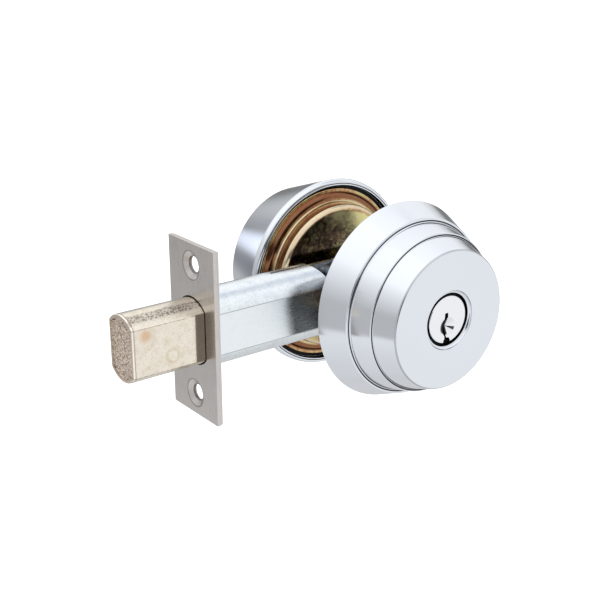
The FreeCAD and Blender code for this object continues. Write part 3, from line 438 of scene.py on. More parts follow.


# %% [markdown]
# Satin chrome on turned brass is brushed on the lathe, so its marks run round the axis. The noise is
# therefore read at (radius, depth) instead of at a point: it has the same value all the way round, and
# the marks come out as rings. A second, soft noise keeps the sheen from being perfectly even, as handling
# does.
#
# Inside a cap the finish gives way to near-black painted shade, with a duller sheen. Where that begins is
# told by a line from rim to front: `inside` is 1 wherever the metal lies well below it. The same mask
# paints shade into grooves, and a thin dark painted reflection round the collar's face.

# %% Satin chrome, turned
# A noise is (scale, detail, roughness), and a swing is (of the rings, of the cloud).
RING_SCALE = 5.0
RING_NOISE = (1.0, 6.0, 0.7)
SHEEN_NOISE = (0.06, 2.0, 0.55)
SHEEN_MIDDLE = 0.45
TINT_SWING = (0.2, 0.35)
ROUGH_SWING = (0.08, 0.06)
CHROME = (0.715, 0.75, 0.80)
CHROME_TINT = (0.66, 0.68, 0.71)
CHROME_ROUGHNESS = 0.135
CHROME_MARK = 0.0016
# Near-black painted shade for the masked places, and how much rougher than the chrome it is.
PAINTED_SHADE_COLOUR = (0.022, 0.022, 0.024)
PAINTED_SHADE_ROUGHNESS = 0.35


def turned_satin(
    name, colour=CHROME, roughness=CHROME_ROUGHNESS, mark=CHROME_MARK, tint=CHROME_TINT, inside=None
):
    finish = Finish(name)
    x, y, z = finish.parts_of(finish.place())
    radius = away(x, z)
    rings = finish.noise(RING_NOISE, finish.vector(radius * RING_SCALE, y * RING_SCALE, 0.0))
    cloud = finish.noise(SHEEN_NOISE)
    metal = finish.mix(colour, tint, cloud.swing(TINT_SWING[1], SHEEN_MIDDLE) + rings.swing(TINT_SWING[0]))
    rough = roughness + rings.swing(ROUGH_SWING[0]) + cloud.swing(ROUGH_SWING[1])
    # Where the mask is 1, the metal is painted over with that shade.
    if inside:
        painted_shade_mask = inside(x, y, z, radius)
        metal = finish.mix(metal, PAINTED_SHADE_COLOUR, painted_shade_mask)
        rough = rough + painted_shade_mask * PAINTED_SHADE_ROUGHNESS
    return finish.dress(metal, rough, rings, mark)


SKIN_FADE = 0.3
LAND_FADE = 0.25


def below_the_skin(start, end, land, depth):
    """A mask of what lies past y = land and deeper than depth under a line; its ends are (y, radius)."""
    slope = (end[1] - start[1]) / (end[0] - start[0])

    def inside(x, y, z, radius):
        line = (y - start[0]) * slope + start[1]
        return (line - radius).step(depth, depth + SKIN_FADE) * (y - land).step(0.0, LAND_FADE)

    return inside


COLLAR_FRONT = 23.42
ROSE_FRONT = 27.1
ROSE_SKIN = 1.15
COLLAR_SKIN = 1.95
DISH_END = 1.15
LAND_END = 0.45
STEP_EDGES = (
    # radius of the front edge, its distance from the door, radius of the next foot, round-over, fillet
    (30.25, 9.70, 28.65, 0.50, 0.42),
    (26.90, 17.40, 25.85, 0.36, 0.28),
)
# Painted shade lies in a groove at the foot of each step, and a thin painted dark reflection on the round
# of the face.
GROOVE = 0.26
GROOVE_FLATTEN = 0.5
GROOVE_SHADE = (0.015, 0.11)
GROOVE_STRENGTH = 0.85
FACE_REFLECTION_INSET = 0.25
FACE_REFLECTION_DEPTH = 0.35
FACE_DARK_REFLECTION = (0.03, 0.22)
FACE_REFLECTION_STRENGTH = 0.38

collar_hollow = below_the_skin(
    (collar_high.y, collar_high.x), (collar_low.y, COLLAR_FRONT), collar_low.y + DISH_END, COLLAR_SKIN
)


def groove_radius(step):
    return step[2] + step[4] + GROOVE / 2


def collar_shade(x, y, z, radius):
    """Painted shade in the hollow and in the groove at the foot of each step, and a faint painted dark
    reflection round the face.
    """
    dark_shade = collar_hollow(x, y, z, radius)
    for step in STEP_EDGES:
        across = radius - groove_radius(step)
        deep = y - (collar_high.y - step[1])
        square = across * across + deep * deep * GROOVE_FLATTEN
        dark_shade = dark_shade + square.fall(*GROOVE_SHADE) * GROOVE_STRENGTH
    across = radius - COLLAR_FRONT + FACE_REFLECTION_INSET
    deep = y - collar_low.y - FACE_REFLECTION_DEPTH
    line = (across * across + deep * deep).fall(*FACE_DARK_REFLECTION)
    return (dark_shade + line * FACE_REFLECTION_STRENGTH).step(0.0, 1.0)


FRONT_SKIN = 1.2
FRONT_FADE = 0.2
# The groove of the rose's rim: radius of its middle, half its width, depth.
RIM_GROOVE = (32.75, 0.18, 0.3)
# Painted shade in the groove of the rim.
RIM_SHADE = (0.08, 0.24)
RIM_SHADE_DEPTH = (0.3, 0.6)
RIM_SHADE_STRENGTH = 0.7

rose_hollow = below_the_skin(
    (rose_low.y, rose_high.x), (rose_high.y, ROSE_FRONT), rose_low.y + LAND_END, ROSE_SKIN
)


def rose_shade(x, y, z, radius):
    """Painted shade in the hollow of the rose, but not on its front wall, and in the groove of its rim."""
    hollow = rose_hollow(x, y, z, radius) * (y - rose_high.y + FRONT_SKIN).fall(0.0, FRONT_FADE)
    groove = radius.near(RIM_GROOVE[0], *RIM_SHADE)
    dark_shade = groove * (y - rose_low.y).fall(*RIM_SHADE_DEPTH) * RIM_SHADE_STRENGTH
    return (hollow + dark_shade).step(0.0, 1.0)


satin_chrome = turned_satin("satin_chrome_turned")
collar_chrome = turned_satin("satin_chrome_collar", inside=collar_shade)
rose_chrome = turned_satin("satin_chrome_rose", inside=rose_shade)

# %% [markdown]
# Flat strip is brushed along its length, so its noise is squeezed into long streaks. The faceplate is satin
# nickel, a warm grey with a fine grain under the streaks, and a thin line of painted shade stands at each
# edge of its countersinks.

# %% Satin nickel, brushed along Z
STREAK_NOISE = (1.0, 5.0, 0.65)
PATCH_NOISE = (0.09, 3.0, 0.55)
PATCH_MIDDLE = 0.4
# Swings of the cloud and the streaks.
BRUSHED_TINT = (0.7, 0.3)
BRUSHED_ROUGH = (0.08, 0.12)
BRUSHED_MARK = 0.0012


def brushed(name, colour, shade, roughness, stretch, mark=BRUSHED_MARK):
    finish = Finish(name)
    streaks = finish.noise(STREAK_NOISE, finish.place(stretch))
    cloud = finish.noise(PATCH_NOISE)
    shaded = cloud.swing(BRUSHED_TINT[0], PATCH_MIDDLE) + streaks.swing(BRUSHED_TINT[1])
    metal = finish.mix(colour, shade, shaded)
    rough = roughness + streaks.swing(BRUSHED_ROUGH[1]) + cloud.swing(BRUSHED_ROUGH[0])
    return finish.dress(metal, rough, streaks, mark)


SCREW_SPACING = 42.86
PLATE_STRETCH = (2.6, 2.6, 0.22)
PLATE_STREAKS = (1.0, 5.0, 0.7)
PLATE_GRAIN = (1.4, 5.0, 0.72)
PLATE_NICKEL = (0.60, 0.572, 0.552)
PLATE_SHADE = (0.36, 0.335, 0.325)
# Swings of the cloud, the streaks and the grain.
PLATE_WEAR = (0.6, 1.3, 0.7)
PLATE_ROUGHNESS = 0.30
PLATE_ROUGH_SWING = (0.2, 0.12)
PLATE_RELIEF = (0.6, 0.5, 0.004)
# A thin line of painted shade at each edge of a countersink.
COUNTERSINK_SHADE = (0.13, 0.10, 0.085)
COUNTERSINK_SHADE_LINES = (
    # radius, half the line's width and where it fades, strength
    (4.62, (0.05, 0.28), 0.65),
    (2.7, (0.0, 0.3), 0.75),
)


def plate_nickel():
    finish = Finish("satin_nickel_brushed")
    x, y, z = finish.parts_of(finish.place())
    streaks = finish.noise(PLATE_STREAKS, finish.place(PLATE_STRETCH))
    grain = finish.noise(PLATE_GRAIN)
    cloud = finish.noise(PATCH_NOISE)
    wide, long, fine = PLATE_WEAR
    wear = cloud.swing(wide, PATCH_MIDDLE) + streaks.swing(long) + grain.swing(fine)
    hole = away(y, z.absolute() - SCREW_SPACING / 2)
    rim_shade = sum(hole.near(radius, *width) * strength for radius, width, strength in COUNTERSINK_SHADE_LINES)
    colour = finish.mix(finish.mix(PLATE_NICKEL, PLATE_SHADE, wear), COUNTERSINK_SHADE, rim_shade)
    long, fine = PLATE_ROUGH_SWING
    rough = PLATE_ROUGHNESS + streaks.swing(long) + grain.swing(fine)
    long, fine, depth = PLATE_RELIEF
    return finish.dress(colour, rough, streaks * long + grain * fine, depth)


satin_nickel = plate_nickel()

# %% [markdown]
# The bolt is a casting. Its flat sides are ground, so they nearly mirror, and its crowns and its nose keep
# the pebbled skin of the mould under the nickel. The mask between the two is only a matter of height: past
# the flats' edge, the skin begins. Warm stains drift over the plating, with a browned patch near the nose
# and the ring that a drop of oil has left. A speckled stripe along the crown is darker, and a dark line
# runs round the bolt behind its nose. The flats carry a painted dark reflection of the faceplate where the
# bolt enters it, painted shade lines the edge between flat and crown, and the bevel round the nose has a
# painted highlight.
#
# Each mark is a coat: a colour, and how much of it lies where its mask is 1. The coats go on in the
# table's order.

# %% Cast bolt
FLAT_EDGE = 7.62
BURN_PLACE = (-90.5, 5.2)
RING_PLACE = (-81.6, -3.3)
RING_RADIUS = 2.1
STRIPE_MIDDLE = -3.7
STRIPE_HALF_WIDTH = 1.9
NOSE_LINE_DEPTH = 0.75
PLATE_REFLECTION_START = -73.3
CAST_NICKEL = (0.80, 0.75, 0.655)
CAST_COATS = {
    # colour, strength
    "stain": ((0.64, 0.53, 0.40), 0.7),
    "specks": ((0.56, 0.46, 0.36), 0.22),
    "burn": ((0.62, 0.37, 0.20), 0.7),
    "ring": ((0.55, 0.44, 0.24), 0.4),
    # A darker, speckled stripe along the crown.
    "dark_mottle": ((0.17, 0.135, 0.11), 1.0),
    "nose": ((0.66, 0.56, 0.47), 1.0),
    "pit": ((0.24, 0.185, 0.15), 0.72),
    # A painted highlight on the bevel round the nose.
    "bevel": ((0.95, 0.90, 0.82), 0.8),
    # A dark line round the bolt, just behind the bevel of its nose.
    "nose_line": ((0.25, 0.19, 0.145), 0.6),
    # A painted dark reflection of the faceplate on the flats, where the bolt enters it.
    "plate_reflection": ((0.20, 0.145, 0.11), 0.8),
    # Painted shade along the edge between flat and crown, broken up by noise.
    "edge": ((0.22, 0.17, 0.13), 1.0),
}
CAST_RANGES = {
    # where each mask begins and where it is full, in millimetres or in the noise's own value
    "crown": (FLAT_EDGE, FLAT_EDGE + 0.5), "pad width": (5.85, 5.9), "pad height": (9.7, 9.8),
    "pad depth": (0.9, 1.0), "nose": (0.05, 0.13), "stain": (0.44, 0.74), "specks": (0.46, 0.60),
    "burn": (0.4, 3.0), "ring": (0.0, 0.9), "dark_mottle": (0.45, 1.1), "pit": (0.3, 0.62),
    "bevel": (0.1, 0.16), "bevel end": (0.4, 0.6), "nose_line": (0.08, 0.3),
    "plate_reflection": (PLATE_REFLECTION_START, PLATE_REFLECTION_START + 0.15), "rub end": (plate_low.x, plate_low.x + 1),
    "edge": (0.0, 0.22), "crease_shade": (0.35, 0.6),
}
CAST_PEBBLES = 2.6
CAST_FINE = (1.5, 5.0, 0.72)
CAST_STAINS = (0.3, 6.0, 0.7)
CAST_SKIN = {"crown": 0.6, "nose": 0.3}
# How far the stains and the fine noise push the outline of a mark, in millimetres.
CAST_WOBBLE = (2.4, 1.2)
STRIPE_WOBBLE = 0.9
STRIPE_MIX = (0.7, 0.25)
CREASE_SHADE_MIX = (0.7, 0.15)
CAST_ROUGHNESS = {"all": 0.15, "skin": 0.12, "stains": 0.12, "specks": 0.05}
CAST_RELIEF = {"fine": 0.8, "stains": 0.02, "depth": 0.06}


def cast_bolt():
    finish = Finish("cast_nickel")
    x, y, z = finish.parts_of(finish.place())
    fine = finish.noise(CAST_FINE)
    stains = finish.noise(CAST_STAINS)
    pebbles = finish.grains(finish.place(), CAST_PEBBLES)
    reach = CAST_RANGES
    depth = x - bolt_low.x
    crown = z.absolute().step(*reach["crown"])
    inner = y.absolute().fall(*reach["pad width"]) * z.absolute().fall(*reach["pad height"])
    pad = inner * depth.fall(*reach["pad depth"])
    border = 1 - pad
    nose = 1 - border * depth.step(*reach["nose"])
    skin = crown * CAST_SKIN["crown"] + nose * CAST_SKIN["nose"]
    specks = fine.step(*reach["specks"])

    def from_place(place):
        return away(x - place[0], z - place[1]) + stains.swing(CAST_WOBBLE[0]) + fine.swing(CAST_WOBBLE[1])

    striped = (y - STRIPE_MIDDLE).absolute() / STRIPE_HALF_WIDTH + stains.swing(STRIPE_WOBBLE)
    crease_shade = fine.step(*reach["crease_shade"]) * CREASE_SHADE_MIX[0] + CREASE_SHADE_MIX[1]
    masks = {
        "stain": stains.step(*reach["stain"]),
        "specks": specks,
        "burn": from_place(BURN_PLACE).fall(*reach["burn"]),
        "ring": from_place(RING_PLACE).near(RING_RADIUS, *reach["ring"]),
        "dark_mottle": crown * striped.fall(*reach["dark_mottle"]) * (specks * STRIPE_MIX[0] + STRIPE_MIX[1]),
        "nose": nose,
        "pit": depth.step(*reach["pit"]) * pad,
        "bevel": border * depth.step(*reach["bevel"]) * depth.fall(*reach["bevel end"]),
        "nose_line": depth.near(NOSE_LINE_DEPTH, *reach["nose_line"]) * border,
        "plate_reflection": x.step(*reach["plate_reflection"]) * (1 - crown) * x.fall(*reach["rub end"]),
        "edge": z.absolute().near(FLAT_EDGE, *reach["edge"]) * crease_shade,
    }
    share = CAST_ROUGHNESS
    rough = share["all"] + skin * share["skin"] + stains.swing(share["stains"]) + specks * share["specks"]
    relief = pebbles * skin + fine * skin * CAST_RELIEF["fine"] + stains * CAST_RELIEF["stains"]
    return finish.dress(finish.coats(CAST_NICKEL, CAST_COATS, masks), rough, relief, CAST_RELIEF["depth"])


cast_nickel = cast_bolt()

# %% [markdown]
# Bright zinc is thin, bluish and almost a mirror, with the faint drawing lines of the strip it was pressed
# from, which run along the tube. On the tube itself a thin line of painted shade follows the edge where
# flat and crown meet, and the crown is clouded.

# %% Bright zinc
ZINC = (0.80, 0.84, 0.88)
ZINC_SHADE = (0.70, 0.745, 0.80)
ZINC_ROUGHNESS = 0.16
ZINC_STRETCH = (0.25, 4.0, 4.0)
ZINC_MARK = 0.0009
TUBE_EDGE = 6.75
TUBE_EDGE_FADE = 0.4
TUBE_ZINC = (0.80, 0.845, 0.87)
TUBE_COATS = {
    # colour, strength
    "cloud": ((0.60, 0.66, 0.74), 0.6),
    "grain": ((0.42, 0.46, 0.54), 0.45),
    # Painted shade along the edge where flat and crown meet.
    "line": ((0.25, 0.26, 0.28), 1.0),
}
TUBE_RANGES = {"cloud": (0.4, 0.8), "grain": (0.5, 0.68), "line": (0.05, 0.22)}
DRAWN_SCALE = (0.12, 2.2)
DRAWN_NOISE = (1.0, 5.0, 0.66)
TUBE_CLOUD = (0.35, 5.0, 0.66)
TUBE_GRAIN = (1.6, 4.0, 0.66)
# How much of the clouding the crown adds, and how much the flats have.
CLOUDED = (0.75, 0.25)
TUBE_CREASE_SHADE_MIX = (0.6, 0.35)
TUBE_ROUGHNESS = {"all": 0.27, "drawn": 0.12, "grain": 0.1}
TUBE_RELIEF = {"drawn": 0.3, "grain": 0.7, "depth": 0.003}


def tube_plate():
    finish = Finish("tube_zinc")
    x, y, z = finish.parts_of(finish.place())
    along, across = DRAWN_SCALE
    drawn = finish.noise(DRAWN_NOISE, finish.vector(x * along, y * across, z * across))
    cloud = finish.noise(TUBE_CLOUD)
    grain = finish.noise(TUBE_GRAIN)
    high = z.absolute()
    crown = high.step(TUBE_EDGE, TUBE_EDGE + TUBE_EDGE_FADE)
    clouded = crown * CLOUDED[0] + CLOUDED[1]
    masks = {
        "cloud": cloud.step(*TUBE_RANGES["cloud"]) * clouded,
        "grain": grain.step(*TUBE_RANGES["grain"]) * crown,
        "line": high.near(TUBE_EDGE, *TUBE_RANGES["line"]) * (drawn * TUBE_CREASE_SHADE_MIX[0] + TUBE_CREASE_SHADE_MIX[1]),
    }
    share = TUBE_ROUGHNESS
    rough = share["all"] + drawn.swing(share["drawn"]) + grain.swing(share["grain"]) * clouded
    relief = drawn * TUBE_RELIEF["drawn"] + grain * crown * TUBE_RELIEF["grain"]
    return finish.dress(finish.coats(TUBE_ZINC, TUBE_COATS, masks), rough, relief, TUBE_RELIEF["depth"])


bright_zinc = brushed("bright_zinc", ZINC, ZINC_SHADE, ZINC_ROUGHNESS, ZINC_STRETCH, ZINC_MARK)
tube_zinc = tube_plate()

# %% [markdown]
# Yellow zinc plate has the colours of a soap film: gold where the film is thin, and green, pink or brown
# where it is thicker. A low, distorted noise runs through a ramp of those colours. Dark brown painted shade
# fills the valley round the boss, the boss's rounded shoulder has a pale painted highlight, and the flat
# has painted shade mottled by noise, a few orange specks at its lower left, and grows brighter towards its
# upper right.

# %% Yellow zinc
FILM_NOISE = (0.13, 5.0, 0.62)
FILM_SPECKS = (0.8, 6.0, 0.74)
FILM_RINGS = (1.0, 4.0, 0.6)
FILM_RING_SCALE = 2.0
FILM_SHARES = {"film": 0.45, "rings": 0.1, "specks": 0.45}
FILM_COLOURS = (
    (0.38, (0.20, 0.10, 0.06)),
    (0.46, (0.42, 0.22, 0.10)),
    (0.52, (0.52, 0.38, 0.20)),
    (0.57, (0.50, 0.47, 0.22)),
    (0.64, (0.62, 0.29, 0.12)),
)
FILM_COATS = {
    # colour, strength
    # Painted shade in the valley round the boss.
    "flange": ((0.21, 0.08, 0.042), 0.9),
    # A pale painted highlight on the rounded shoulder of the boss.
    "shoulder_highlight": ((0.74, 0.63, 0.45), 1.0),
    # Painted shade on the flat, mottled by noise.
    "dark_mottle": ((0.075, 0.05, 0.042), 0.85),
    "sparks": ((0.85, 0.38, 0.12), 0.8),
    # The flat grows brighter towards its upper right.
    "bright_side": ((0.80, 0.74, 0.36), 0.75),
}
FILM_RANGES = {
    "flange": (26.9, 27.5), "flange end": (29.6, 29.9), "shoulder_highlight": (24.4, 24.9),
    "lip end": (26.6, 26.9), "flat": (23.4, 24.4), "dark_mottle": (0.46, 0.58), "sparks": (0.58, 0.66),
    "sparks side": (-12.0, 12.0), "bright_side": (0.0, 1.0),
}
SHOULDER_HIGHLIGHT_MIX = (0.4, 0.55)
SPARKS_LEAN = 0.5
BRIGHT_SIDE_TOWARD = (0.6, 0.8)
BRIGHT_SIDE_START = 12.0
BRIGHT_SIDE_WIDTH = 9.0
FILM_ROUGHNESS = {"all": 0.17, "film": 0.16, "specks": 0.12}
FILM_RELIEF = {"rings": 0.4, "specks": 0.6, "depth": 0.014}


def yellow_zinc_plate():
    finish = Finish("yellow_zinc")
    x, y, z = finish.parts_of(finish.place())
    radius = away(x, z)
    film = finish.noise(FILM_NOISE)
    specks = finish.noise(FILM_SPECKS)
    rings = finish.noise(FILM_RINGS, finish.vector(radius * FILM_RING_SCALE, y * FILM_RING_SCALE, 0.0))
    share, reach = FILM_SHARES, FILM_RANGES
    level = film * share["film"] + rings * share["rings"] + specks * share["specks"]
    flat = radius.fall(*reach["flat"])
    lean = (x * BRIGHT_SIDE_TOWARD[0] + z * BRIGHT_SIDE_TOWARD[1] - BRIGHT_SIDE_START) / BRIGHT_SIDE_WIDTH
    shoulder_highlight = radius.step(*reach["shoulder_highlight"]) * radius.fall(*reach["lip end"])
    masks = {
        "flange": radius.step(*reach["flange"]) * radius.fall(*reach["flange end"]),
        "shoulder_highlight": shoulder_highlight * (specks * SHOULDER_HIGHLIGHT_MIX[0] + SHOULDER_HIGHLIGHT_MIX[1]),
        "dark_mottle": flat * ((film + specks) / 2).fall(*reach["dark_mottle"]),
        "sparks": flat * specks.step(*reach["sparks"]) * (x + z * SPARKS_LEAN).fall(*reach["sparks side"]),
        "bright_side": flat * (lean + specks.swing(1.0)).step(*reach["bright_side"]),
    }
    colour = finish.coats(finish.ramp(level, FILM_COLOURS), FILM_COATS, masks)
    share = FILM_ROUGHNESS
    rough = share["all"] + film.swing(share["film"]) + specks.swing(share["specks"])
    relief = rings * FILM_RELIEF["rings"] + specks * FILM_RELIEF["specks"]
    return finish.dress(colour, rough, relief, FILM_RELIEF["depth"])


yellow_zinc = yellow_zinc_plate()

# %% [markdown]
# The pieces behind the scenes share simpler finishes: a bright nickel for the plug, with painted shade in
# its keyway, machined brass for the cylinder, spring steel, and dark hardened steel. Two nodes have marks
# of their own. The shell's nose is painted near-black as shade, which draws the dark ring round the plug,
# and so is the middle of the outer plate, which the tube's end mirrors. Every node of the frame then gets
# the finish of its slot, or its own.

# %% The other metals
PLUG_RIM = 7.75
PLUG_RIM_FADE = 0.1
KEY_DIMPLE = (-0.1, -2.4)
DIMPLE_RADIUS = 3.25
DIMPLE_SLOPE = 0.446
CAVITY = (0.06, 0.2)
SHADED_DIMPLE = (2.5, 3.0)
SHADED_ACROSS = (0.1, 0.45)
SHADED_STRENGTH = 0.96
NOSE_LAND = 0.4
NOSE_LAND_FADE = 0.2
OUTER_PLATE_SHADE_RADII = (21.0, 25.0)
OUTER_PLATE_SHADE_STRENGTH = 0.86

plug_face = span("cylinder_plug")[0].y
shell_nose = span("cylinder_shell")[0].y


def keyway_shade(x, y, z, radius):
    """Painted shade inside the keyway, and on the shaded left side of the key's dimple."""
    across = x - KEY_DIMPLE[0]
    dimple = away(across, z - KEY_DIMPLE[1])
    below = (DIMPLE_RADIUS - dimple) * DIMPLE_SLOPE
    cone = (below + below.absolute()) / 2
    cavity = (y - plug_face - cone).step(*CAVITY)
    shaded_side = dimple.fall(*SHADED_DIMPLE) * across.fall(*SHADED_ACROSS) * SHADED_STRENGTH
    return (cavity + shaded_side).step(0.0, 1.0) * radius.fall(PLUG_RIM, PLUG_RIM + PLUG_RIM_FADE)


def nose_shade(x, y, z, radius):
    """Painted shade on the shell's nose behind the plug's head."""
    return (y - shell_nose).fall(NOSE_LAND, NOSE_LAND + NOSE_LAND_FADE)


def outer_plate_shade(x, y, z, radius):
    """Painted shade over the outer plate, but for its margin."""
    return radius.fall(*OUTER_PLATE_SHADE_RADII) * OUTER_PLATE_SHADE_STRENGTH


BRASS = ((0.66, 0.50, 0.26), 0.28, 0.003, (0.50, 0.36, 0.18))
TURNED = {
    # colour, roughness, depth of the marks, tint, mask of the painted shade
    "plug_nickel": ((0.80, 0.81, 0.84), 0.07, 0.0004, (0.70, 0.70, 0.72), keyway_shade),
    "machined_brass": BRASS,
    "shaded_shell_brass": (*BRASS, nose_shade),
    "shaded_outer_plate": ((0.50, 0.52, 0.55), 0.3, 0.001, (0.40, 0.42, 0.45), outer_plate_shade),
}
BRUSHED = {
    # colour, shade, roughness, stretch of the noise
    "spring_steel": ((0.46, 0.47, 0.49), (0.34, 0.34, 0.36), 0.28, (1.0, 6.0, 1.0)),
    "hard_steel": ((0.20, 0.20, 0.21), (0.12, 0.12, 0.13), 0.35, (3.0, 3.0, 3.0)),
}
plain = {name: turned_satin(name, *settings) for name, settings in TURNED.items()}
plain.update({name: brushed(name, *settings) for name, settings in BRUSHED.items()})

SLOT_FINISH = {
    "satin_chrome": satin_chrome,
    "satin_nickel": satin_nickel,
    "cast_nickel": cast_nickel,
    "bright_zinc": bright_zinc,
    "yellow_zinc": yellow_zinc,
    "cylinder_brass": plain["machined_brass"],
    **plain,
}
NODE_FINISH = {"cylinder_shell": plain["shaded_shell_brass"], "outer_mounting_plate": plain["shaded_outer_plate"]}

for entry in frame["record"]["subparts"]:
    node = frame["nodes"][entry["node"]]
    node.data.materials.clear()
    node.data.materials.append(NODE_FINISH.get(entry["node"]) or SLOT_FINISH[entry["material_slot"]])

# %% [markdown]
# ## The outer collar
#
# Three tapered steps stand on the door, each set back a little from the one behind. It is one turned
# piece, so it is turned up from its outline: the rim, the steps from back to front with a fine groove at
# the foot of each, the dished hole round the key plug, and the hollow inside.

# %% Outer collar
FACE_ROUND = 0.75
ROUND_STEPS = 6
LIP_STEPS = 4
RIM_BREAK = 0.2
DISH_LIP = 0.15
DISH_RADIUS = 9.98
DISH_DEPTH = 1.1
DISH_STEP = 0.25
DISH_STEPS = 8
DISH_ANGLE = 80
BORE_RADIUS = 9.0
FRONT_WALL = 3.9
COLLAR_WALL = 2.9
# The hollow's outline, from the front wall to the rim: radius, distance from the door.
HOLLOW = ((COLLAR_FRONT - COLLAR_WALL + 1, 15.4), (STEP_EDGES[0][0] - COLLAR_WALL, 7.7))

door_y = collar_high.y
face_y = collar_low.y


def collar_rings():
    rings = [(collar_high.x - COLLAR_WALL, door_y), (collar_high.x - RIM_BREAK, door_y)]
    rings += [(collar_high.x, door_y - RIM_BREAK)]
    for step in STEP_EDGES:
        edge_radius, distance, foot, round_over, fillet = step
        y = door_y - distance
        rings += arc_rings((edge_radius - round_over, y + round_over), round_over, 0, -90, ROUND_STEPS)
        bottom = groove_radius(step)
        rings += [(bottom + GROOVE / 2, y), (bottom, y + GROOVE), (bottom - GROOVE / 2, y)]
        rings += arc_rings((foot + fillet, y - fillet), fillet, 90, 180, ROUND_STEPS)[1:]
    rings += arc_rings((COLLAR_FRONT - FACE_ROUND, face_y + FACE_ROUND), FACE_ROUND, 0, -90, ROUND_STEPS)
    lip_y = face_y + DISH_LIP
    rings += arc_rings((DISH_RADIUS + DISH_LIP, lip_y), DISH_LIP, -90, -180, LIP_STEPS)
    size = (DISH_RADIUS - BORE_RADIUS + DISH_LIP, DISH_DEPTH - DISH_STEP)
    rings += arc_rings((BORE_RADIUS - DISH_LIP, lip_y), size, 0, DISH_ANGLE, DISH_STEPS)[1:]
    rings += [(BORE_RADIUS, face_y + DISH_DEPTH)]
    shoulder_y = face_y + FRONT_WALL
    rings += [(BORE_RADIUS, shoulder_y), (COLLAR_FRONT - COLLAR_WALL, shoulder_y)]
    rings += [(radius, door_y - distance) for radius, distance in HOLLOW]
    return rings


collar = turn_up(collar_rings())
finish_piece(collar, "collar", "lock_case", collar_chrome, ["outer_collar"], smooth=35)

# %% [markdown]
# ## The inner rose
#
# The rose is a plain tapered cap. What makes it real is its rim: a flat land that meets the door, a fine
# groove in it, and a soft round that swells to the widest point before the long taper begins.

# %% Inner rose
RIM_INNER = 32.2
RIM_FLAT = 33.3
ROSE_WALL = 2.4
SPINDLE_HOLE = 6.05
SEAT_RADIUS = 29.9
SEAT_DEPTH = 2.55
RIM_SWELL = 2.0
SWELL_STEPS = 8
ROSE_ROUND = 0.9
ROSE_TAPER = 15
ROSE_EDGE = 0.1

rim_y = rose_low.y
front_y = rose_high.y


def rose_rings():
    middle, half, depth = RIM_GROOVE
    rings = [(RIM_INNER, rim_y), (middle - half, rim_y), (middle, rim_y + depth), (middle + half, rim_y)]
    rings += [(RIM_FLAT, rim_y)]
    size = (rose_high.x - RIM_FLAT, RIM_SWELL)
    rings += arc_rings((RIM_FLAT, rim_y + RIM_SWELL), size, -90, 0, SWELL_STEPS)[1:]
    shoulder = (ROSE_FRONT - ROSE_ROUND, front_y - ROSE_ROUND)
    rings += arc_rings(shoulder, ROSE_ROUND, ROSE_TAPER, 90, ROUND_STEPS)
    rings += [(SPINDLE_HOLE, front_y), (SPINDLE_HOLE, front_y - ROSE_WALL)]
    rings += [(ROSE_FRONT - ROSE_WALL, front_y - ROSE_WALL)]
    rings += [(SEAT_RADIUS, rim_y + SEAT_DEPTH + ROSE_WALL), (SEAT_RADIUS, rim_y + SEAT_DEPTH)]
    rings += [(RIM_INNER, rim_y + SEAT_DEPTH)]
    return rings


rose = turn_up(rose_rings(), bevel=ROSE_EDGE, bevel_segments=2)
finish_piece(rose, "rose", "lock_case", rose_chrome, ["inner_rose"], smooth=35)

# %% [markdown]
# ## The inner mounting plate
#
# A disc of sheet is pressed into a shallow hat: a rolled edge, a valley, a fine ridge, then the wall of
# the boss with its full, soft shoulder. The sheet has one thickness, so the back follows the front.
# Turning it as one outline keeps both in step, and the soft corners come from arcs of points, because a
# press leaves no sharp edge.

# %% Inner mounting plate
SHEET = 1.2
BOSS_RADIUS = 26.0
BOSS_SHOULDER = 2.0
BOSS_BORE = 7.5
SCREW_PLACE = 19.0
SCREW_CLEARANCE = 2.85
ROLLED_EDGE = (0.5, 0.45)
ROLLED_STEPS = 5
SHOULDER_STEPS = 9
BORE_BREAK = 0.3
PRESSING = (
    # radius, height above the sheet's face, from the rolled edge over the valley and the ridge to the boss
    (29.75, 0.05), (29.45, 0.2), (29.15, -0.05),
    (28.6, -0.62), (28.2, -0.7), (27.6, -0.7), (27.3, -0.85),
    (27.0, -0.95), (26.7, -0.85), (26.45, -0.9), (26.15, -1.3),
    (BOSS_RADIUS, -1.9),
)
# The same for the sheet's back, from the boss to the edge.
BACK = ((BOSS_RADIUS - SHEET, -1.4), (26.2, -0.7), (28.55, -0.7), (29.25, 0.0))
hat_low, hat_high = span("inner_mounting_plate")


def plate_rings():
    edge, back, top = hat_high.x, hat_high.y, hat_low.y
    front = back - SHEET
    width, depth = ROLLED_EDGE
    rings = [(edge, back)]
    rings += arc_rings((edge - width, front + depth), ROLLED_EDGE, 0, -90, ROLLED_STEPS)
    rings += [(radius, front + rise) for radius, rise in PRESSING]
    shoulder = (BOSS_RADIUS - BOSS_SHOULDER, top + BOSS_SHOULDER)
    rings += arc_rings(shoulder, BOSS_SHOULDER, 0, -90, SHOULDER_STEPS)
    rings += [(BOSS_BORE + BORE_BREAK, top), (BOSS_BORE, top + BORE_BREAK), (BOSS_BORE, top + SHEET)]
    rings += arc_rings(shoulder, BOSS_SHOULDER - SHEET, -90, 0, ROLLED_STEPS)
    rings += [(radius, back + rise) for radius, rise in BACK]
    return rings


def make_plate():
    plate = turn_up(plate_rings())
    for side in (-1, 1):
        x = side * SCREW_PLACE
        carve(plate, rod(SCREW_CLEARANCE, (x, hat_low.y - PAST, 0), (x, hat_high.y, 0)))
    return plate


plate = make_plate()
finish_piece(plate, "pressed_plate", "lock_case", yellow_zinc, ["inner_mounting_plate"], 40)

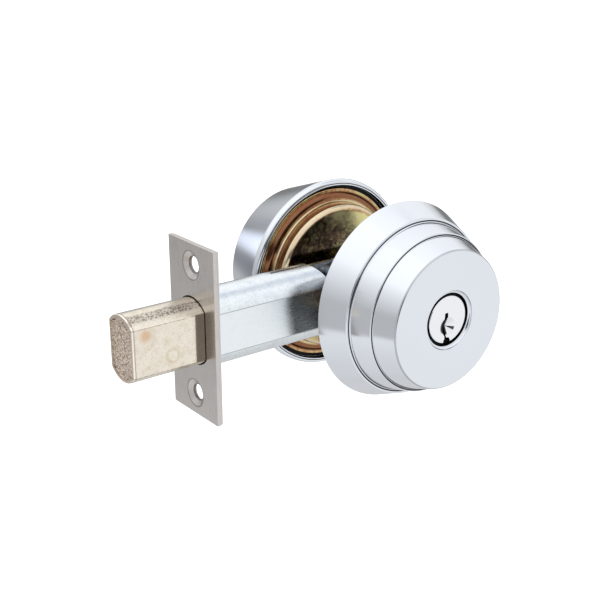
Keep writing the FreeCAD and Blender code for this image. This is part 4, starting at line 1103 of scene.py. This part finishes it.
# %% [markdown]
# ## The bolt tube
#
# The tube is rolled from strip, closes in a seam along its top and bottom, and ends in two flat ears that
# hold the mechanism's case. It is carved like a solid: a crowned bar gets rounded ends from its side
# view, the same bar made smaller hollows it, and a thin block opens the seam.

# %% Bolt tube
TUBE_FLAT_HEIGHT = 13.6
TUBE_WALL = 0.85
TUBE_END = -22.0
TUBE_END_ROUND = 5.0
EAR_HALF_HEIGHT = 6.4
END_STEPS = 14
TUBE_BREAK = {"width": 0.12, "segments": 2, "angle": 30}
SEAM_WIDTH = 1.0
SEAM_LENGTH = 18.0
RIVET_PLACE = (-14.5, 3.4)
RIVET_RADIUS = 1.3


def rounded_slab(low, high, radius):
    """A slab across the tube whose two corners at its right end are rounded in the side view."""
    slab = block(low, high)

    def level_edge(edge):
        first, second = (slab.data.vertices[i].co for i in edge.vertices)
        at_end = min(first.x, second.x) > (high[0] - HAIR) * MM
        return at_end and abs(first.z - second.z) < HAIR * MM

    pick(slab, "edges", level_edge)
    bpy.ops.mesh.bevel(offset=radius * MM, segments=END_STEPS, affect="EDGES")
    leave_edit()
    return slab


def make_tube():
    wide, high = tube_high.y - tube_low.y, tube_high.z - tube_low.z
    section = (wide, high, TUBE_FLAT_HEIGHT)
    start, end, tall = tube_low.x, tube_high.x, high / 2
    tube = crowned_bar(*section, start, end)
    low, high_end = (start - PAST, -wide, -tall - PAST), (TUBE_END, wide, tall + PAST)
    side = rounded_slab(low, high_end, TUBE_END_ROUND + PAST)
    low = (TUBE_END - TUBE_END_ROUND, -wide, -EAR_HALF_HEIGHT)
    ears = rounded_slab(low, (end, wide, EAR_HALF_HEIGHT), EAR_HALF_HEIGHT / 2)
    carve(tube, carve(side, ears, "UNION"), "INTERSECT")
    carve(tube, crowned_bar(*section, start - PAST, end + PAST, TUBE_WALL))
    carve(tube, block((TUBE_END - SEAM_LENGTH, -SEAM_WIDTH / 2, -high), (0, SEAM_WIDTH / 2, high)))
    holes = [(RIVET_PLACE[0], side * RIVET_PLACE[1], RIVET_RADIUS) for side in (-1, 1)]
    for x, z, radius in holes + [(-SCREW_PLACE, 0, SCREW_CLEARANCE)]:
        carve(tube, rod(radius, (x, -wide, z), (x, wide, z)))
    return break_edges(tube, **TUBE_BREAK)


finish_piece(make_tube(), "tube", "lock_case", tube_zinc, ["bolt_tube"], smooth=18)

# %% [markdown]
# ## Faceplate
#
# The faceplate is a strip of plate with an opening the shape of the bolt and two countersunk holes. It
# starts as a block, is carved by a bar of the bolt's section and by rods and cones, and then gets its
# edges broken.

# %% Faceplate
BOLT_WIDTH = 14.0
BOLT_HEIGHT = 21.8
BOLT_FLAT_HEIGHT = 15.35
BOLT_SECTION = (BOLT_WIDTH, BOLT_HEIGHT, BOLT_FLAT_HEIGHT)
OPENING_GAP = 0.35
SCREW_HOLE = 2.65
COUNTERSINK = 4.6
COUNTERSINK_LAND = 0.3
PLATE_BREAK = 0.14
DEEP_CUT = 4.0

face_x = plate_low.x


def make_faceplate():
    plate = block(plate_low, plate_high)
    carve(plate, crowned_bar(*BOLT_SECTION, face_x - 2 * PAST, face_x + DEEP_CUT, -OPENING_GAP))
    for side in (-1, 1):
        z = side * SCREW_SPACING / 2
        carve(plate, rod(SCREW_HOLE, (face_x - PAST, 0, z), (face_x + DEEP_CUT, 0, z)))
        depth = plate_high.x - face_x - COUNTERSINK_LAND
        mouth = COUNTERSINK + (COUNTERSINK - SCREW_HOLE) / depth * PAST
        carve(plate, rod(mouth, (face_x - PAST, 0, z), (face_x + depth, 0, z), SCREW_HOLE))
    return break_edges(plate, PLATE_BREAK)


finish_piece(make_faceplate(), "faceplate_satin", "lock_case", satin_nickel, ["faceplate"])

# %% [markdown]
# ## The bolt
#
# A solid bar of the crowned section, with a bevel round its nose. The nose is the only face that keeps
# its cast skin in full view, so its pebbles are real: a fine grid is displaced by a cloud texture,
# thickened, cut to the outline of the nose less a smooth border, and joined to the bar.

# %% Bolt
NOSE_BREAK = {"width": 0.5, "segments": 4, "angle": 60}
NOSE_BORDER = 1.15
NOSE_SINK = 0.42
PEBBLE_SIZE = 0.5
PEBBLE_HEIGHT = 0.7
PEBBLE_CONTRAST = 1.3
PEBBLE_BACK = 1.0
PEBBLE_GAP = 0.02
PEBBLE_POCKET = 0.38
GRID_STEP = 0.16


def make_pebbles(x):
    """The grid is displaced while it measures in whole millimetres: noise fails at tiny scales."""
    steps = round(BOLT_HEIGHT / GRID_STEP)
    bpy.ops.mesh.primitive_grid_add(
        x_subdivisions=steps, y_subdivisions=steps, size=BOLT_HEIGHT,
        location=(x, 0, 0), rotation=(0, -QUARTER, 0),
    )
    skin = bpy.context.object
    bpy.ops.object.transform_apply(location=True, rotation=True, scale=True)
    clouds = bpy.data.textures.new("pebbles", "CLOUDS")
    clouds.noise_scale = PEBBLE_SIZE
    clouds.noise_depth = 1
    clouds.contrast = PEBBLE_CONTRAST
    modify(skin, "DISPLACE", texture=clouds, strength=PEBBLE_HEIGHT, direction="X", texture_coords="LOCAL")
    pick(skin, "polygons", lambda face: True)
    bpy.ops.mesh.extrude_region_move(TRANSFORM_OT_translate={"value": (PEBBLE_BACK, 0, 0)})
    bpy.ops.mesh.select_all(action="SELECT")
    bpy.ops.transform.resize(value=(MM, MM, MM), center_override=(0, 0, 0))
    leave_edit()
    mend(skin)
    return skin


def make_bolt():
    front = bolt_low.x
    bolt = crowned_bar(*BOLT_SECTION, front, bolt_high.x)
    break_edges(bolt, **NOSE_BREAK)
    carve(bolt, crowned_bar(*BOLT_SECTION, front - PAST, front + NOSE_SINK + PEBBLE_POCKET, NOSE_BORDER))
    pebbles = make_pebbles(front + NOSE_SINK)
    outline = crowned_bar(*BOLT_SECTION, front - PAST, front + DEEP_CUT, NOSE_BORDER + PEBBLE_GAP)
    return carve(bolt, carve(pebbles, outline, "INTERSECT"), "UNION")


finish_piece(make_bolt(), "bolt_body", "bolt", cast_nickel, ["deadbolt"], smooth=34)

# %% [markdown]
# ## Studio
#
# The lock stands in a light tent, on white, and metal shows nothing but what stands round it. So the tent
# is the world, and it is painted by direction. Each wall has its own brightness from the floor to the
# ceiling: a grey wall on the left that ends sharply above the bright table, a dark gap low behind on the
# right, and white in front. A grey panel hangs overhead on the right, and dark patches in front are the
# gaps between the tent's cloths. The camera itself sees plain white.

# %% The tent's walls
BRIGHTEST = 1.5
WALLS = {
    # elevation in degrees, brightness
    "left": ((-65, 0.84), (-30, 1), (-25, 0.62), (2, 0.6), (14, 0.78), (31, 1.04), (44, 1.3), (90, 1.4)),
    "right": (
        (-60, 0.78), (-40, 0.68), (-12, 0.52), (-3, 0.2), (4, 0.25), (11, 0.75), (22, 1.1), (90, 1.35)
    ),
    "front": ((-70, 0.8), (-35, 1.0), (-20, 1.06), (10, 1.0), (35, 1.1), (60, 1.25), (90, 1.4)),
}
PANELS = (
    # azimuth, elevation, radius of the full shade, radius where it ends, brightness
    (88.0, 52.0, 8.0, 16.0, 0.76),
    (-136.0, 16.0, 9.0, 14.0, 0.12),
    (-145.0, -9.0, 9.0, 13.0, 0.12),
    (-158.0, 6.0, 11.0, 15.0, 0.12),
    (-173.0, -3.2, 9.0, 11.0, 0.08),
    (-11.0, -13.0, 6.0, 12.0, 0.2),
    (-7.0, 3.0, 4.5, 9.5, 1.55),
    (2.0, 13.0, 2.0, 7.0, 0.45),
)
PANEL_TINT = (0.93, 0.98, 1.1)
LEFT_EDGE = (-0.5, 0.2)
FRONT_EDGE = (-0.35, 0.1)
TINY = 0.001


def make_tent():
    world = bpy.data.worlds.new("tent")
    world.use_nodes = True
    bpy.context.scene.world = world
    board = Board(world.node_tree)
    direction = board.node("ShaderNodeTexCoord", output="Generated")
    x, y, z = board.parts_of(direction)
    level = away(x, y) + TINY
    height = z.arcsine() / math.pi + 0.5
    left, back = x / level, y / level

    def wall(name):
        grey = [(angle / 180 + 0.5, [value / BRIGHTEST] * 3) for angle, value in WALLS[name]]
        return board.ramp(height, grey)

    side = board.mix(wall("right"), wall("left"), left.fall(*LEFT_EDGE))
    tent = board.mix(wall("front"), side, back.step(*FRONT_EDGE))
    for azimuth, elevation, inner, outer, brightness in PANELS:
        azimuth, elevation = math.radians(azimuth), math.radians(elevation)
        flat = math.cos(elevation)
        aim = (math.sin(azimuth) * flat, math.cos(azimuth) * flat, math.sin(elevation))
        toward = board.node("ShaderNodeVectorMath", {"operation": "DOT_PRODUCT"}, {0: direction, 1: aim}, 1)
        inner, outer = math.cos(math.radians(inner)), math.cos(math.radians(outer))
        shade = [brightness / BRIGHTEST * part for part in PANEL_TINT]
        tent = board.mix(tent, shade, toward.step(outer, inner))
    seen = board.node("ShaderNodeLightPath", output="Is Camera Ray")
    sky = world.node_tree.nodes["Background"]
    connect(board.tree, sky.inputs["Color"], board.mix(tent, [1 / BRIGHTEST] * 3, seen))
    sky.inputs["Strength"].default_value = BRIGHTEST


make_tent()
bpy.context.scene.view_settings.view_transform = "Standard"

# %% [markdown]
# A sheet of white paper lies below, lit a little from within, so that it meets the white of the tent with
# no line. Reflections pass through it to the tent, whose table is painted already.

# %% Floor
FLOOR_DROP = 60.0
FLOOR_SIZE = 6.0
PAPER = (0.95, 0.95, 0.95, 1)
PAPER_ROUGHNESS = 0.9
PAPER_GLOW = 0.3


def make_floor():
    bpy.ops.object.select_all(action="DESELECT")
    bpy.ops.mesh.primitive_plane_add(size=FLOOR_SIZE, location=(0, 0, (collar_low.z - FLOOR_DROP) * MM))
    floor = bpy.context.object
    floor.name = "floor"
    paper = Finish("white_paper", 0.0)
    paper.set("Roughness", PAPER_ROUGHNESS)
    paper.set("Base Color", PAPER)
    paper.set("Emission Color", (1, 1, 1, 1))
    paper.set("Emission Strength", PAPER_GLOW)
    floor.data.materials.append(paper.material)
    floor.visible_glossy = False


make_floor()

# %% [markdown]
# The camera looks slightly down on the lock from its bolt side with a long lens.

# %% Camera
AZIMUTH = -37.494
ELEVATION = 20.119
DISTANCE = 375.65
TARGET = (-26.089, 0.0, -0.979)
SENSOR = 36.0
LENS = 66.25
NEAREST = 0.01


def make_camera():
    azimuth, elevation = math.radians(AZIMUTH), math.radians(ELEVATION)
    flat = math.cos(elevation)
    back = Vector((math.sin(azimuth) * flat, -math.cos(azimuth) * flat, math.sin(elevation)))
    bpy.ops.object.camera_add(location=(Vector(TARGET) + back * DISTANCE) * MM)
    camera = bpy.context.object
    camera.rotation_mode = "QUATERNION"
    camera.rotation_quaternion = (-back).to_track_quat("-Z", "Y")
    camera.data.sensor_width = SENSOR
    camera.data.lens = LENS
    camera.data.clip_start = NEAREST
    bpy.context.scene.camera = camera


make_camera()
